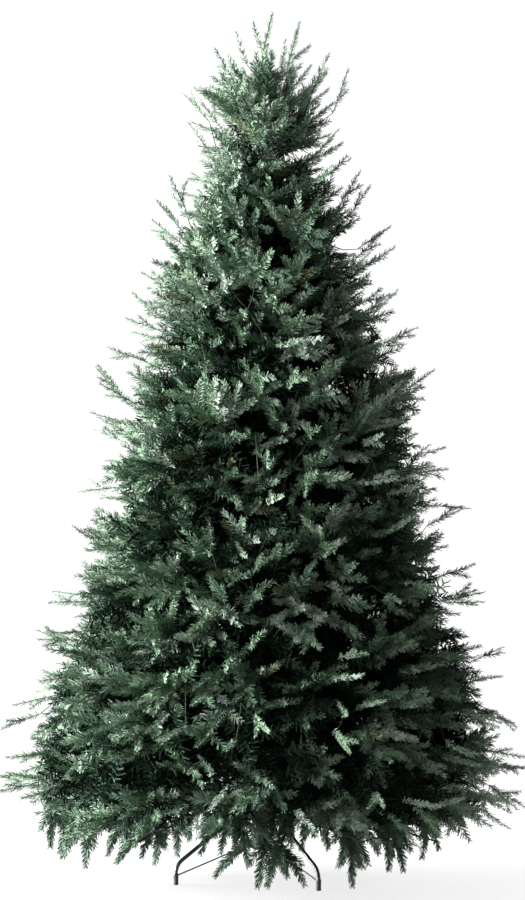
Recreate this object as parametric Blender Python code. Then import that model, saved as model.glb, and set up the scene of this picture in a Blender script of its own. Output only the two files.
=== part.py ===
"""An artificial spruce: a steel pole in a three-legged folding stand, wire boughs, and masses of needle sprays.

Metres, +Z up. The origin is on the floor, under the pole.
The crown is cut into tiers, and each tier into sectors. One mass of foliage keeps to each sector of a tier:
a stem, twigs that branch from it, sprays on the twigs, and a smaller core that the sprays stand out of.
"""

import math
import random

import bmesh
import bpy
from mathutils import Matrix, Vector
from mathutils.bvhtree import BVHTree

# Overall size
TREE_HEIGHT = 2.28
LEAN = 0.018  # the crown's middle leans this far to +X
LEAN_FROM_HEIGHT = 1.0  # and has all of that lean from here up
CLEARANCE = 0.0003  # between pieces that touch
GOLDEN_RATIO = 0.618034  # steps of this share of a whole spread evenly
GOLDEN_ANGLE = math.radians(137.508)

# The crown's outline: (height, radius), from the skirt to the tip
REACH = (
    (0.00, 0.40),
    (0.06, 0.54),
    (0.14, 0.660),
    (0.25, 0.700),
    (0.33, 0.688),
    (0.50, 0.648),
    (0.71, 0.585),
    (0.84, 0.535),
    (1.00, 0.505),
    (1.15, 0.455),
    (1.34, 0.432),
    (1.43, 0.375),
    (1.62, 0.325),
    (1.80, 0.268),
    (1.88, 0.208),
    (2.00, 0.192),
    (2.12, 0.182),
    (2.20, 0.150),
    (2.28, 0.080),
)

# The underside of the skirt: (radius, height). It clears the stand and droops beyond it.
SKIRT = ((0.00, 0.262), (0.23, 0.212), (0.28, 0.080), (0.35, 0.018), (0.45, 0.018), (0.56, 0.062), (0.70, 0.170))

# The surfaces between tiers: height at the pole, rise per metre of radius, and how strongly they droop
# They also wave up and down round the pole, so that no level gap shows between tiers.
TIER_SURFACES = ((0.335, 0.35, 0.50), (0.60, 0.40, 0.45), (0.88, 0.50, 0.50), (1.20, 0.55, 0.40), (1.74, 0.52, 0.0))

WAVE = 0.075
WAVES = 4

# Each tier: its letter, its number of masses, the azimuth of the first and its twist per metre of radius, the lift
# of its sprays, the height of its ring on the pole, the radius where its masses begin, the sprays on each mass, and
# the size of a spray
TIERS = (
    {"name": "a", "masses": 6, "turn": 30, "twist": 0.7, "lift": -14,
     "ring": 0.292, "start": 0.17, "sprays": 12, "spray": 0.245},
    {"name": "b", "masses": 6, "turn": 18, "twist": -0.7, "lift": 0,
     "ring": 0.47, "start": 0.17, "sprays": 10, "spray": 0.240},
    {"name": "c", "masses": 5, "turn": 34, "twist": 0.7, "lift": 9,
     "ring": 0.74, "start": 0.16, "sprays": 10, "spray": 0.235},
    {"name": "d", "masses": 5, "turn": 54, "twist": -0.7, "lift": 17,
     "ring": 1.05, "start": 0.14, "sprays": 10, "spray": 0.215},
    {"name": "e", "masses": 4, "turn": 20, "twist": 0.8, "lift": 32,
     "ring": 1.42, "start": 0.02, "sprays": 11, "spray": 0.185},
)
LAST_TIER = len(TIERS) - 1
TWIST_FROM = 0.30  # a room's middle is at its own azimuth at this radius
MASS_GAP = 0.002  # each mass keeps this far inside its own room

# A spray is a toothed blade. Its outline is (share of its length, share of its length to each side).
SPRAY_OUTLINE = ((0.24, 0.06), (0.68, 0.31), (0.64, 0.10))
SPRAY_RIDGE = 0.45  # where it is thickest
SPRAY_THICKNESS = 0.080  # from its middle to its face there
SPRAY_ROOT = 0.92  # its twig ends this share of its length behind its tip
TWIG_HOLD = 0.030  # and runs on this far inside it
TWIG_RADII = (0.0045, 0.0035)
SUNK_DEPTH = 0.008  # a twig that ends deeper in a core than this is left out

# How the sprays of a tier's mass are dealt out. One that doesn't fit its room is tried again, smaller and further in.
ATTEMPTS = 50
SHRINK = 0.985
INWARD = 0.010
LIFT_FAN = 40  # degrees of lift between the floor's sprays and the roof's
ASIDE_FAN = -24  # degrees that the outer sprays turn aside
HANGING = 4  # sprays of each mass of the skirt that hang to its underside
HANGING_SIZE = 0.8
HANGING_LIFTS = (-62, -38)
HANGING_RADII = (0.38, 0.52)

# A core fills these shares of its room's width and height
CORE_DEPTH = 0.60  # it ends this share of a spray's length short of the outline
CORE_WIDTH = 0.88
CORE_HEIGHT = 0.48
CORE_SWELLS = (0.70, 0.86, 0.98, 1.04)
CORE_LOWEST = 0.06
CORE_INNER = 0.055  # where the core of a mass that has no bough begins

# The uppermost sprays: (x, y, height, length)
LEADERS = (
    (0.031, 0.004, 2.280, 0.150),
    (-0.019, 0.014, 2.258, 0.130),
    (0.102, -0.030, 2.246, 0.150),
    (-0.066, -0.028, 2.226, 0.140),
    (0.020, 0.088, 2.232, 0.140),
    (0.010, -0.104, 2.215, 0.140),
)
TOP_SPRAYS = 13
TOP_SPRAY = 0.170
TOP_LIFTS = (10, 64)  # degrees, from the lowest to the uppermost
TOP_HEIGHTS = (1.850, 2.190)
TOP_CORE = (0.006, 1.975)  # its middle: x and height
TOP_CORE_HALF_HEIGHT = 0.155
TOP_CORE_WIDTH = 0.100
TOP_CORE_TAPER = 0.050

# The pole: (top of the section, radius). Each section stands in a sleeve.
POLE_FOOT = 0.092
POLE_SECTIONS = ((0.62, 0.0160), (1.22, 0.0135), (1.80, 0.0110))
SLEEVE_HEIGHT = 0.045
SLEEVE_WALL = 0.002
RING_RADIUS = 0.024
RING_HEIGHT = 0.014
POLE_SEGMENTS = 10

# Boughs
BOUGH_ROOT_RADIUS = 0.0065
BOUGH_TIP_RADIUS = 0.0048
BOUGH_SAG = 0.006

# The stand
LEG_AZIMUTHS = (192, 312, 72)
FOOT_REACH = 0.2240
LEG_RADIUS = 0.0051
LEG_SLOPE = math.radians(38)
LEG_CORNER_HEIGHT = 0.0510  # where the sloping and the upright run of a leg would meet
LEG_BEND_RADIUS = 0.046
LEG_BEND_STEPS = 6
LEG_TOP_REACH = 0.027
FOOT_HEIGHT = 0.0215
FOOT_WALL = 0.0013
FOOT_SOLE = 0.0040
BRACE_RADIUS = 0.0019
BRACE_FOOT_HEIGHT = 0.0286
BRACE_TOP = (0.027, 0.1010)
BRACE_EYE_HEIGHT = 0.0064
BRACE_EYE_WALL = 0.0016
HUB_BOTTOM = 0.087
HUB_TOP = 0.216
HUB_WALL = 0.0040
HUB_FLOOR = 0.0047
EAR_THICKNESS = 0.0026
EAR_REACH = 0.037
EAR_HEIGHT = 0.020
BOLT_RADIUS = 0.0036
BOLT_HEAD = 0.0028


# ---------------------------------------------------------------- small geometry


def along(table, x):
    """The second value of a table at x, on straight lines between its rows."""
    if x <= table[0][0]:
        return table[0][1]
    for (x0, y0), (x1, y1) in zip(table, table[1:]):
        if x <= x1:
            return y0 + (y1 - y0) * (x - x0) / (x1 - x0)
    return table[-1][1]


def polar(radius, azimuth, height):
    return Vector((radius * math.cos(azimuth), radius * math.sin(azimuth), height))


def heading(azimuth, lift):
    """The unit vector that points to an azimuth and rises by lift, both in radians."""
    return Vector((math.cos(azimuth) * math.cos(lift), math.sin(azimuth) * math.cos(lift), math.sin(lift)))


def new_object(name, vertices, faces, material=None, collection=None):
    mesh = bpy.data.meshes.new(name)
    mesh.from_pydata([tuple(v) for v in vertices], [], faces)
    bm = bmesh.new()
    bm.from_mesh(mesh)
    bmesh.ops.recalc_face_normals(bm, faces=bm.faces)
    bm.to_mesh(mesh)
    bm.free()
    if material:
        mesh.materials.append(material)
    obj = bpy.data.objects.new(name, mesh)
    (collection or bpy.context.scene.collection).objects.link(obj)
    return obj


def rounded(obj):
    obj.data.shade_smooth()
    obj.data.set_sharp_from_angle(angle=math.radians(40))
    return obj


def tube(path, radii, sides, first=None, last=None):
    """Vertices and faces of a closed tube along a path, with a radius at each point.

    Its end faces look along first and last where these are given.
    """
    vertices, faces = [], []
    side = (first or (path[1] - path[0])).orthogonal().normalized()
    for i, (point, radius) in enumerate(zip(path, radii)):
        tangent = (path[min(i + 1, len(path) - 1)] - path[max(i - 1, 0)]).normalized()
        if first and i == 0:
            tangent = first
        if last and i == len(path) - 1:
            tangent = last
        side = (side - tangent * side.dot(tangent)).normalized()
        other = tangent.cross(side)
        for k in range(sides):
            turn = math.tau * k / sides
            vertices.append(point + radius * (side * math.cos(turn) + other * math.sin(turn)))
    for i in range(len(path) - 1):
        for k in range(sides):
            near, far = i * sides, (i + 1) * sides
            faces.append((near + k, near + (k + 1) % sides, far + (k + 1) % sides, far + k))
    faces.append(tuple(range(sides - 1, -1, -1)))
    faces.append(tuple(range((len(path) - 1) * sides, len(path) * sides)))
    return vertices, faces


def turned(name, profile, segments, material):
    """A solid of revolution about Z. The profile runs from the axis to the axis."""
    bm = bmesh.new()
    ring = [bm.verts.new((radius, 0, height)) for radius, height in profile]
    edges = [bm.edges.new(pair) for pair in zip(ring, ring[1:])]
    bmesh.ops.spin(
        bm,
        geom=ring + edges,
        cent=(0, 0, 0),
        axis=(0, 0, 1),
        angle=math.tau,
        steps=segments,
        use_merge=True,
    )
    bmesh.ops.remove_doubles(bm, verts=bm.verts, dist=1e-6)
    bmesh.ops.recalc_face_normals(bm, faces=bm.faces)
    mesh = bpy.data.meshes.new(name)
    bm.to_mesh(mesh)
    bm.free()
    mesh.materials.append(material)
    obj = bpy.data.objects.new(name, mesh)
    bpy.context.scene.collection.objects.link(obj)
    return rounded(obj)


def block(low, high, place, collection):
    """A box from low to high in the axes of place, which is a matrix."""
    corners = [Vector((x, y, z)) for x in (low[0], high[0]) for y in (low[1], high[1]) for z in (low[2], high[2])]
    faces = [(0, 1, 3, 2), (4, 6, 7, 5), (0, 4, 5, 1), (2, 3, 7, 6), (0, 2, 6, 4), (1, 5, 7, 3)]
    return new_object("block", [place @ c for c in corners], faces, collection=collection)


def fused(base, pieces):
    """One Boolean union joins the pieces of a collection to the base, and the pieces are then removed."""
    join = base.modifiers.new("join", "BOOLEAN")
    join.operation = "UNION"
    join.operand_type = "COLLECTION"
    join.collection = pieces
    join.solver = "EXACT"
    bpy.context.view_layer.update()
    whole = bpy.data.meshes.new_from_object(base.evaluated_get(bpy.context.evaluated_depsgraph_get()))
    base.modifiers.clear()
    base.data = whole
    for piece in list(pieces.objects):
        bpy.data.objects.remove(piece)
    bpy.data.collections.remove(pieces)
    return base


def workshop():
    """A collection for pieces that are about to be fused."""
    pieces = bpy.data.collections.new("pieces")
    bpy.context.scene.collection.children.link(pieces)
    return pieces


# ---------------------------------------------------------------- materials


def paint(name, colour, roughness, metallic=0.0):
    material = bpy.data.materials.new(name)
    material.use_nodes = True
    shader = material.node_tree.nodes["Principled BSDF"]
    shader.inputs["Base Color"].default_value = (*colour, 1)
    shader.inputs["Roughness"].default_value = roughness
    shader.inputs["Metallic"].default_value = metallic
    return material


# ---------------------------------------------------------------- the crown's shape


def reach(azimuth, height):
    """How far the crown reaches from the pole at an azimuth and a height."""
    lean = LEAN * min(1.0, max(0.0, height / LEAN_FROM_HEIGHT))
    return along(REACH, height) + lean * math.cos(azimuth)


def tier_floor(tier, radius, azimuth):
    if tier == 0:
        return along(SKIRT, radius)
    return tier_roof(tier - 1, radius, azimuth)


def tier_roof(tier, radius, azimuth):
    height, rise, droop = TIER_SURFACES[tier]
    wave = WAVE * radius * math.cos(WAVES * azimuth + 1.9 * tier)
    return height + rise * radius - droop * radius * radius + wave


def mid_height(tier, azimuth):
    return 0.5 * (tier_floor(tier, 0.4, azimuth) + tier_roof(tier, 0.4, azimuth))


def twist(tier, radius):
    """How far a room's middle has turned at a radius, so that no straight gap runs in to the pole."""
    return TIERS[tier]["twist"] * (radius - TWIST_FROM)


def in_room(point, tier, middle, half, start):
    """True if a point keeps to the room of one mass: its sector of a tier, from start out to the crown's reach."""
    radius = math.hypot(point.x, point.y)
    if radius < start:
        return False
    azimuth = math.atan2(point.y, point.x)
    off = (azimuth - middle - twist(tier, radius) + math.pi) % math.tau - math.pi
    if abs(off) > half or radius * math.sin(half - abs(off)) < MASS_GAP:
        return False
    if not tier_floor(tier, radius, azimuth) + MASS_GAP < point.z < tier_roof(tier, radius, azimuth) - MASS_GAP:
        return False
    return radius < reach(azimuth, point.z) + MASS_GAP


def in_top_room(point):
    radius = math.hypot(point.x, point.y)
    azimuth = math.atan2(point.y, point.x)
    lowest = tier_roof(LAST_TIER, radius, azimuth) + MASS_GAP
    return lowest < point.z <= TREE_HEIGHT and radius < reach(azimuth, point.z) + MASS_GAP


# ---------------------------------------------------------------- sprays, twigs and cores


def spray(tip, direction, roll, size):
    """A toothed blade, thickest in its middle: the vertices and faces of a closed solid."""
    outline = [(0.0, 0.0), *SPRAY_OUTLINE, (1.0, 0.0), *((x, -y) for x, y in reversed(SPRAY_OUTLINE))]
    side = direction.cross(Vector((0, 0, 1))).normalized()
    side = Matrix.Rotation(roll, 3, direction) @ side
    up = side.cross(direction)
    root = tip - direction * size
    vertices = [root + direction * (x * size) + side * (y * size) for x, y in outline]
    ridge = root + direction * (SPRAY_RIDGE * size)
    thick = SPRAY_THICKNESS * size
    vertices += [ridge + up * thick, ridge - up * thick]
    count = len(outline)
    faces = []
    for k in range(count):
        after = (k + 1) % count
        faces += [(k, after, count), (after, k, count + 1)]
    return vertices, faces


def lumpy_ball(rng, place):
    """Vertices and faces of a ball between round and square, each vertex put where place(n, swell) says."""
    bm = bmesh.new()
    bmesh.ops.create_icosphere(bm, subdivisions=2, radius=1.0)
    for vertex in bm.verts:
        n = vertex.co.normalized()
        squared = n / max(abs(n.x), abs(n.y), abs(n.z)) ** 0.85
        vertex.co = place(squared, rng.choice(CORE_SWELLS))
    vertices = [v.co.copy() for v in bm.verts]
    faces = [tuple(v.index for v in f.verts) for f in bm.faces]
    bm.free()
    return vertices, faces


def core(tier, middle, half, start, rng):
    """A lumpy core that fills the inner part of a mass's room."""
    size = TIERS[tier]["spray"]
    inner = start + 0.012 if start > 0.1 else CORE_INNER

    def place(n, swell):
        across = middle + n.y * CORE_WIDTH * (0.5 + 0.5 * swell) * half
        share = max(0.0, min(1.0, 0.5 + 0.5 * n.x * swell))
        radius = 0.3
        for _ in range(5):
            azimuth = across + twist(tier, radius)
            floor, roof = tier_floor(tier, radius, azimuth), tier_roof(tier, radius, azimuth)
            if tier == 0:
                floor = max(floor, CORE_LOWEST)
            level = 0.5 + CORE_HEIGHT * (0.6 + 0.4 * swell) * n.z
            height = floor + (roof - floor) * max(0.035, min(0.965, level))
            radius = inner + max(0.0, reach(azimuth, height) - CORE_DEPTH * size - inner) * share
        return polar(radius, azimuth, height)

    return lumpy_ball(rng, place)


def stem_of(tier, middle, start):
    """The path of a mass's stem, from the bough's tip, or from the pole, through its core."""
    kind = TIERS[tier]
    rise = math.radians(kind["lift"])
    if start > 0.1:
        foot = bough_tip(tier, middle)
    else:
        foot = polar(ring_face(middle) + CLEARANCE, middle, kind["ring"])
    level = mid_height(tier, middle)
    length = reach(middle, level) - kind["spray"] - math.hypot(foot.x, foot.y)
    end = foot + heading(math.atan2(foot.y, foot.x), rise) * max(0.10, length)
    if start > 0.1:
        end.z = 0.5 * (end.z + level)
    return foot, end


def sunk(point, inside):
    """True if a point lies well inside a core, where no twig would show."""
    way = Vector((0.30, 0.20, 0.93)).normalized()
    crossings, start = 0, point
    while (hit := inside.ray_cast(start, way)[0]) is not None:
        crossings += 1
        start = hit + way * 1e-5
    return crossings % 2 == 1 and inside.find_nearest(point)[3] > SUNK_DEPTH


def outer_seat(tier, middle, aside, level, rng):
    """A place for a spray's tip near the outline: (radius, azimuth, height)."""
    radius = reach(middle, mid_height(tier, middle))
    for _ in range(4):
        azimuth = middle + twist(tier, radius) + aside
        floor, roof = tier_floor(tier, radius, azimuth), tier_roof(tier, radius, azimuth)
        height = floor + (roof - floor) * level
        radius = reach(azimuth, height) * (1.0 - 0.05 * rng.random())
    return radius, azimuth, height


def hanging_seat(tier, middle, aside, rng):
    """A place for a spray's tip on the skirt's underside: (radius, azimuth, height)."""
    radius = rng.uniform(*HANGING_RADII)
    azimuth = middle + twist(tier, radius) + aside
    return radius, azimuth, tier_floor(tier, radius, azimuth) + 2 * MASS_GAP


def mass_sprays(tier, middle, half, start, foot, end, rng):
    """The sprays of one mass and the twigs that bear them, of all that keep to their room.

    Each is (twig path, spray vertices, spray faces).
    """
    kind = TIERS[tier]
    grown = []
    for i in range(kind["sprays"]):
        across = 2 * ((i * GOLDEN_RATIO + 0.31) % 1.0) - 1
        upward = 0.5 - 0.5 * math.cos(math.pi * (i + 0.6) / (kind["sprays"] + 0.2))  # more at the floor and the roof
        for attempt in range(ATTEMPTS):
            size = kind["spray"] * SHRINK**attempt * rng.uniform(0.92, 1.06)
            inward = 1.0 - INWARD * attempt
            level = 0.5 + (upward - 0.5) * inward
            lift = math.radians(kind["lift"] + LIFT_FAN * (level - 0.45) + rng.uniform(-8, 8))
            if tier == 0 and i < HANGING:
                size *= HANGING_SIZE
                lift = math.radians(rng.uniform(*HANGING_LIFTS))
                radius, azimuth, height = hanging_seat(tier, middle, across * inward * half, rng)
            else:
                radius, azimuth, height = outer_seat(tier, middle, across * inward * half, level, rng)
            aside = math.radians(ASIDE_FAN * across * inward + rng.uniform(-8, 8))
            direction = heading(azimuth + 0.35 * aside, lift)
            tip = polar(radius, azimuth, height)
            edgewise = abs(across) / (abs(across) + abs(2 * upward - 1) + 0.01)  # so at the room's sides
            blade, faces = spray(tip, direction, math.radians(90 * edgewise + rng.uniform(-22, 22)), size)
            root = tip - direction * size * SPRAY_ROOT
            spring = foot.lerp(end, rng.uniform(0.45, 0.95))
            if all(in_room(v, tier, middle, half, start) for v in [*blade, root, spring]):
                grown.append(((spring, root + direction * TWIG_HOLD), blade, faces))
                break
    return grown


def foliage_mass(tier, number, needles):
    """One mass of a tier: stem, twigs, sprays and core, fused into one solid."""
    kind = TIERS[tier]
    half = math.pi / kind["masses"]
    middle = math.radians(kind["turn"]) + 2 * half * number
    middle = (middle + math.pi) % math.tau - math.pi
    rng = random.Random(1000 * tier + number)
    name = f"foliage_{kind['name']}{number + 1}"
    foot, end = stem_of(tier, middle, kind["start"])
    vertices, faces = core(tier, middle, half, kind["start"], rng)
    mass = new_object(name, vertices, faces, needles)
    pieces = workshop()
    path = [foot, foot.lerp(end, 0.5), end]
    outward = Vector((foot.x, foot.y, 0)).normalized()
    stem, stem_faces = tube(path, [BOUGH_TIP_RADIUS, BOUGH_TIP_RADIUS, 0.003], 5, first=outward)
    new_object("stem", stem, stem_faces, collection=pieces)
    inside = BVHTree.FromPolygons(vertices, faces)
    for twig, blade, blade_faces in mass_sprays(tier, middle, half, kind["start"], foot, end, rng):
        if not sunk(twig[1], inside):
            tube_points, tube_faces = tube(twig, TWIG_RADII, 3)
            new_object("twig", tube_points, tube_faces, collection=pieces)
        new_object("spray", blade, blade_faces, collection=pieces)
    return fused(mass, pieces)


def top_mass(needles):
    """The leader and the rising sprays round it, on the pole's top."""
    rng = random.Random(77)
    foot = Vector((0, 0, POLE_SECTIONS[-1][0] + CLEARANCE))
    head = Vector((0.008, 0, TREE_HEIGHT - 0.12))

    def place(n, swell):
        height = TOP_CORE[1] + TOP_CORE_HALF_HEIGHT * n.z * swell
        width = (TOP_CORE_WIDTH - TOP_CORE_TAPER * n.z) * swell
        azimuth = math.atan2(n.y, n.x)
        low = tier_roof(LAST_TIER, math.hypot(n.x, n.y) * width + TOP_CORE[0], azimuth) + 2 * MASS_GAP
        return Vector((n.x * width + TOP_CORE[0], n.y * width, max(height, low)))

    vertices, faces = lumpy_ball(rng, place)
    mass = new_object("foliage_top", vertices, faces, needles)
    inside = BVHTree.FromPolygons(vertices, faces)
    pieces = workshop()
    upward = Vector((0, 0, 1))
    stem, stem_faces = tube([foot, foot.lerp(head, 0.6), head], [0.008, 0.006, 0.004], 5, first=upward)
    new_object("leader_stem", stem, stem_faces, collection=pieces)
    for x, y, height, length in LEADERS:
        tip = Vector((x, y, height))
        root = Vector((0.35 * x, 0.35 * y, height - 0.94 * length))
        blade, blade_faces = spray(tip, (tip - root).normalized(), rng.uniform(-0.6, 0.6), length)
        new_object("spray", blade, blade_faces, collection=pieces)
        twig, twig_faces = tube([head - upward * 0.05, root + (tip - root) * 0.3], TWIG_RADII, 3)
        new_object("twig", twig, twig_faces, collection=pieces)
    for i in range(TOP_SPRAYS):
        azimuth = i * GOLDEN_ANGLE
        share = (i + 0.5) / TOP_SPRAYS
        for attempt in range(ATTEMPTS):
            lift = math.radians(TOP_LIFTS[0] + (TOP_LIFTS[1] - TOP_LIFTS[0]) * share + rng.uniform(-7, 7))
            size = TOP_SPRAY * SHRINK**attempt * rng.uniform(0.9, 1.05)
            height = TOP_HEIGHTS[0] + (TOP_HEIGHTS[1] - TOP_HEIGHTS[0]) * share
            height += rng.uniform(-0.012, 0.012) + 0.0015 * attempt
            tip = polar(reach(azimuth, height) * rng.uniform(0.94, 1.0), azimuth, height)
            direction = heading(azimuth + math.radians(rng.uniform(-8, 8)), lift)
            blade, blade_faces = spray(tip, direction, math.radians(rng.uniform(-55, 55)), size)
            root = tip - direction * size * SPRAY_ROOT
            level = max(foot.z + 0.06, min(head.z - 0.03, root.z - 0.25 * math.hypot(root.x, root.y)))
            spring = foot.lerp(head, (level - foot.z) / (head.z - foot.z))
            if all(in_top_room(v) for v in [*blade, root]):
                twig_end = root + direction * TWIG_HOLD
                if not sunk(twig_end, inside):
                    twig, twig_faces = tube([spring, twig_end], TWIG_RADII, 3)
                    new_object("twig", twig, twig_faces, collection=pieces)
                new_object("spray", blade, blade_faces, collection=pieces)
                break
    return fused(mass, pieces)


# ---------------------------------------------------------------- pole and boughs


def ring_face(azimuth):
    """How far a ring on the pole reaches towards an azimuth, with its few sides."""
    step = math.tau / POLE_SEGMENTS
    return RING_RADIUS * math.cos(azimuth - step * round(azimuth / step))


def bough_tip(tier, middle):
    """Where a bough ends and the stem of its mass begins."""
    start = TIERS[tier]["start"]
    azimuth = middle + twist(tier, start)
    return polar(start, azimuth, 0.5 * (tier_floor(tier, start, azimuth) + tier_roof(tier, start, azimuth)))


def bough(tier, number, wire):
    """One tapering limb, from its ring on the pole to its mass."""
    kind = TIERS[tier]
    middle = math.radians(kind["turn"]) + math.tau * number / kind["masses"]
    root = polar(ring_face(middle) + CLEARANCE, middle, kind["ring"])
    tip = bough_tip(tier, middle)
    outward = Vector((tip.x, tip.y, 0)).normalized()
    tip -= outward * CLEARANCE
    path, radii = [], []
    for i in range(4):
        share = i / 3
        sag = Vector((0, 0, -BOUGH_SAG * math.sin(math.pi * share)))
        path.append(root.lerp(tip, share) + sag)
        radii.append(BOUGH_ROOT_RADIUS + (BOUGH_TIP_RADIUS - BOUGH_ROOT_RADIUS) * share)
    vertices, faces = tube(path, radii, 6, first=heading(middle, 0), last=outward)
    return rounded(new_object(f"bough_{kind['name']}{number + 1}", vertices, faces, wire))


def pole(steel):
    """The trunk: a steel pole in three sections, with a sleeve at each joint and a ring at each tier of boughs."""
    profile = [(0.0, POLE_FOOT), (POLE_SECTIONS[0][1], POLE_FOOT)]
    collars = []
    for tier in TIERS:
        low = tier["ring"] - RING_HEIGHT / 2
        collars.append((low, low + RING_HEIGHT, RING_RADIUS))
    for top, radius in POLE_SECTIONS[:-1]:
        collars.append((top - SLEEVE_HEIGHT / 2, top + SLEEVE_HEIGHT / 2, radius + SLEEVE_WALL))
    for low, high, radius in sorted(collars):
        below = next(r for top, r in POLE_SECTIONS if low < top)
        above = next(r for top, r in POLE_SECTIONS if high < top)
        profile += [(below, low), (radius, low), (radius, high), (above, high)]
    top, radius = POLE_SECTIONS[-1]
    profile += [(radius, top), (0.0, top)]
    return turned("trunk", profile, POLE_SEGMENTS, steel)


# ---------------------------------------------------------------- stand


def leg_path():
    """A leg in its own upright plane, as (reach, height): up from the foot, round the bend, then up to the hub."""
    turn = math.pi / 2 - LEG_SLOPE
    tangent = LEG_BEND_RADIUS * math.tan(turn / 2)
    centre = (FOOT_REACH - LEG_BEND_RADIUS, LEG_CORNER_HEIGHT - tangent)
    points = [(FOOT_REACH, FOOT_SOLE + CLEARANCE)]
    for i in range(LEG_BEND_STEPS + 1):
        angle = turn * i / LEG_BEND_STEPS
        points.append((centre[0] + LEG_BEND_RADIUS * math.cos(angle), centre[1] + LEG_BEND_RADIUS * math.sin(angle)))
    run = FOOT_REACH - LEG_TOP_REACH
    points.append((LEG_TOP_REACH, LEG_CORNER_HEIGHT + run * math.tan(LEG_SLOPE)))
    return points


def leg(number, azimuth, steel):
    path = [polar(x, azimuth, z) for x, z in leg_path()]
    vertices, faces = tube(path, [LEG_RADIUS] * len(path), 8)
    return rounded(new_object(f"stand_leg_{number}", vertices, faces, steel))


def foot_cap(number, azimuth, rubber):
    """A rubber cup that the leg's end stands in."""
    inner = LEG_RADIUS + CLEARANCE
    outer = inner + FOOT_WALL
    profile = [(0, 0), (outer, 0), (outer, FOOT_HEIGHT), (inner, FOOT_HEIGHT), (inner, FOOT_SOLE), (0, FOOT_SOLE)]
    cap = turned(f"stand_foot_{number}", profile, 12, rubber)
    cap.location = polar(FOOT_REACH, azimuth, 0)
    return cap


def brace(number, azimuth, steel):
    """A thin rod from an eye round the leg to the hub's lower ears."""
    inner = LEG_RADIUS + CLEARANCE
    outer = inner + BRACE_EYE_WALL
    low = BRACE_FOOT_HEIGHT - BRACE_EYE_HEIGHT
    high = BRACE_FOOT_HEIGHT
    bm = bmesh.new()
    ring = [bm.verts.new((x, 0, z)) for x, z in ((inner, low), (outer, low), (outer, high), (inner, high))]
    edges = [bm.edges.new((ring[i], ring[(i + 1) % 4])) for i in range(4)]
    bmesh.ops.spin(
        bm, geom=ring + edges, cent=(0, 0, 0), axis=(0, 0, 1), angle=math.tau, steps=12, use_merge=True
    )
    bmesh.ops.remove_doubles(bm, verts=bm.verts, dist=1e-6)
    bmesh.ops.recalc_face_normals(bm, faces=bm.faces)
    bmesh.ops.translate(bm, verts=bm.verts, vec=polar(FOOT_REACH, azimuth, 0))
    mesh = bpy.data.meshes.new("eye")
    bm.to_mesh(mesh)
    bm.free()
    mesh.materials.append(steel)
    eye = bpy.data.objects.new(f"stand_brace_{number}", mesh)
    bpy.context.scene.collection.objects.link(eye)
    pieces = workshop()
    outside = polar(FOOT_REACH - 0.5 * (inner + outer), azimuth, 0.5 * (low + high))
    inside = polar(BRACE_TOP[0], azimuth, BRACE_TOP[1])
    vertices, faces = tube([outside, inside], [BRACE_RADIUS] * 2, 8)
    new_object("rod", vertices, faces, collection=pieces)
    return rounded(fused(eye, pieces))


def ears(azimuth, height, slot, bolted, pieces):
    """Two ears of the hub, on both sides of a rod's end; a bolt's head and nut are on the outer faces of some."""
    place = Matrix.Rotation(azimuth, 4, "Z")
    wall = POLE_SECTIONS[0][1] + HUB_WALL / 2
    for sign in (-1, 1):
        near = sign * slot
        far = sign * (slot + EAR_THICKNESS)
        low = (wall, min(near, far), height - EAR_HEIGHT / 2)
        high = (EAR_REACH, max(near, far), height + EAR_HEIGHT / 2)
        block(low, high, place, pieces)
        if not bolted:
            continue
        outer = sign * (slot + EAR_THICKNESS + BOLT_HEAD)
        bolt_reach = EAR_REACH - 2 * BOLT_RADIUS
        path = [place @ Vector((bolt_reach, near * 1.2, height)), place @ Vector((bolt_reach, outer, height))]
        vertices, faces = tube(path, [BOLT_RADIUS] * 2, 6)
        new_object("bolt", vertices, faces, collection=pieces)


def hub(steel):
    """The stand's hub: a socket for the pole, with ears for the legs and the braces."""
    inner = POLE_SECTIONS[0][1] + CLEARANCE
    outer = inner + HUB_WALL
    floor = HUB_BOTTOM + HUB_FLOOR
    profile = [
        (0, HUB_BOTTOM),
        (outer, HUB_BOTTOM),
        (outer, HUB_TOP),
        (inner, HUB_TOP),
        (inner, floor),
        (0, floor),
    ]
    socket = turned("stand_hub", profile, 20, steel)
    pieces = workshop()
    leg_top = leg_path()[-1]
    for degrees in LEG_AZIMUTHS:
        azimuth = math.radians(degrees)
        ears(azimuth, leg_top[1], LEG_RADIUS + CLEARANCE, True, pieces)
        ears(azimuth, BRACE_TOP[1], BRACE_RADIUS + CLEARANCE, False, pieces)
    return rounded(fused(socket, pieces))


# ---------------------------------------------------------------- the tree


def main():
    for obj in list(bpy.data.objects):
        bpy.data.objects.remove(obj)
    needles = paint("needles", (0.060, 0.105, 0.065), 0.62)
    wire = paint("wrapped_wire", (0.055, 0.045, 0.030), 0.75)
    steel = paint("painted_steel", (0.012, 0.013, 0.013), 0.30, 0.2)
    rubber = paint("rubber", (0.010, 0.010, 0.010), 0.70)
    pole(steel)
    hub(steel)
    for number, degrees in enumerate(LEG_AZIMUTHS, start=1):
        azimuth = math.radians(degrees)
        leg(number, azimuth, steel)
        foot_cap(number, azimuth, rubber)
        brace(number, azimuth, steel)
    for tier, kind in enumerate(TIERS):
        for number in range(kind["masses"]):
            if kind["start"] > 0.1:
                bough(tier, number, wire)
            foliage_mass(tier, number, needles)
    top_mass(needles)


main()
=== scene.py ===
"""An artificial spruce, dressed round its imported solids.

Every mass of foliage is grown again by the rule of its solid, and carried on to single needles.
A mass keeps to its own room: a sector of a tier, from the pole out to the crown's outline.
Metres, +Z up, the origin on the floor under the pole.
"""

import itertools
import math
import random
from collections import namedtuple

import bmesh
import bpy
from mathutils import Matrix, Vector


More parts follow.
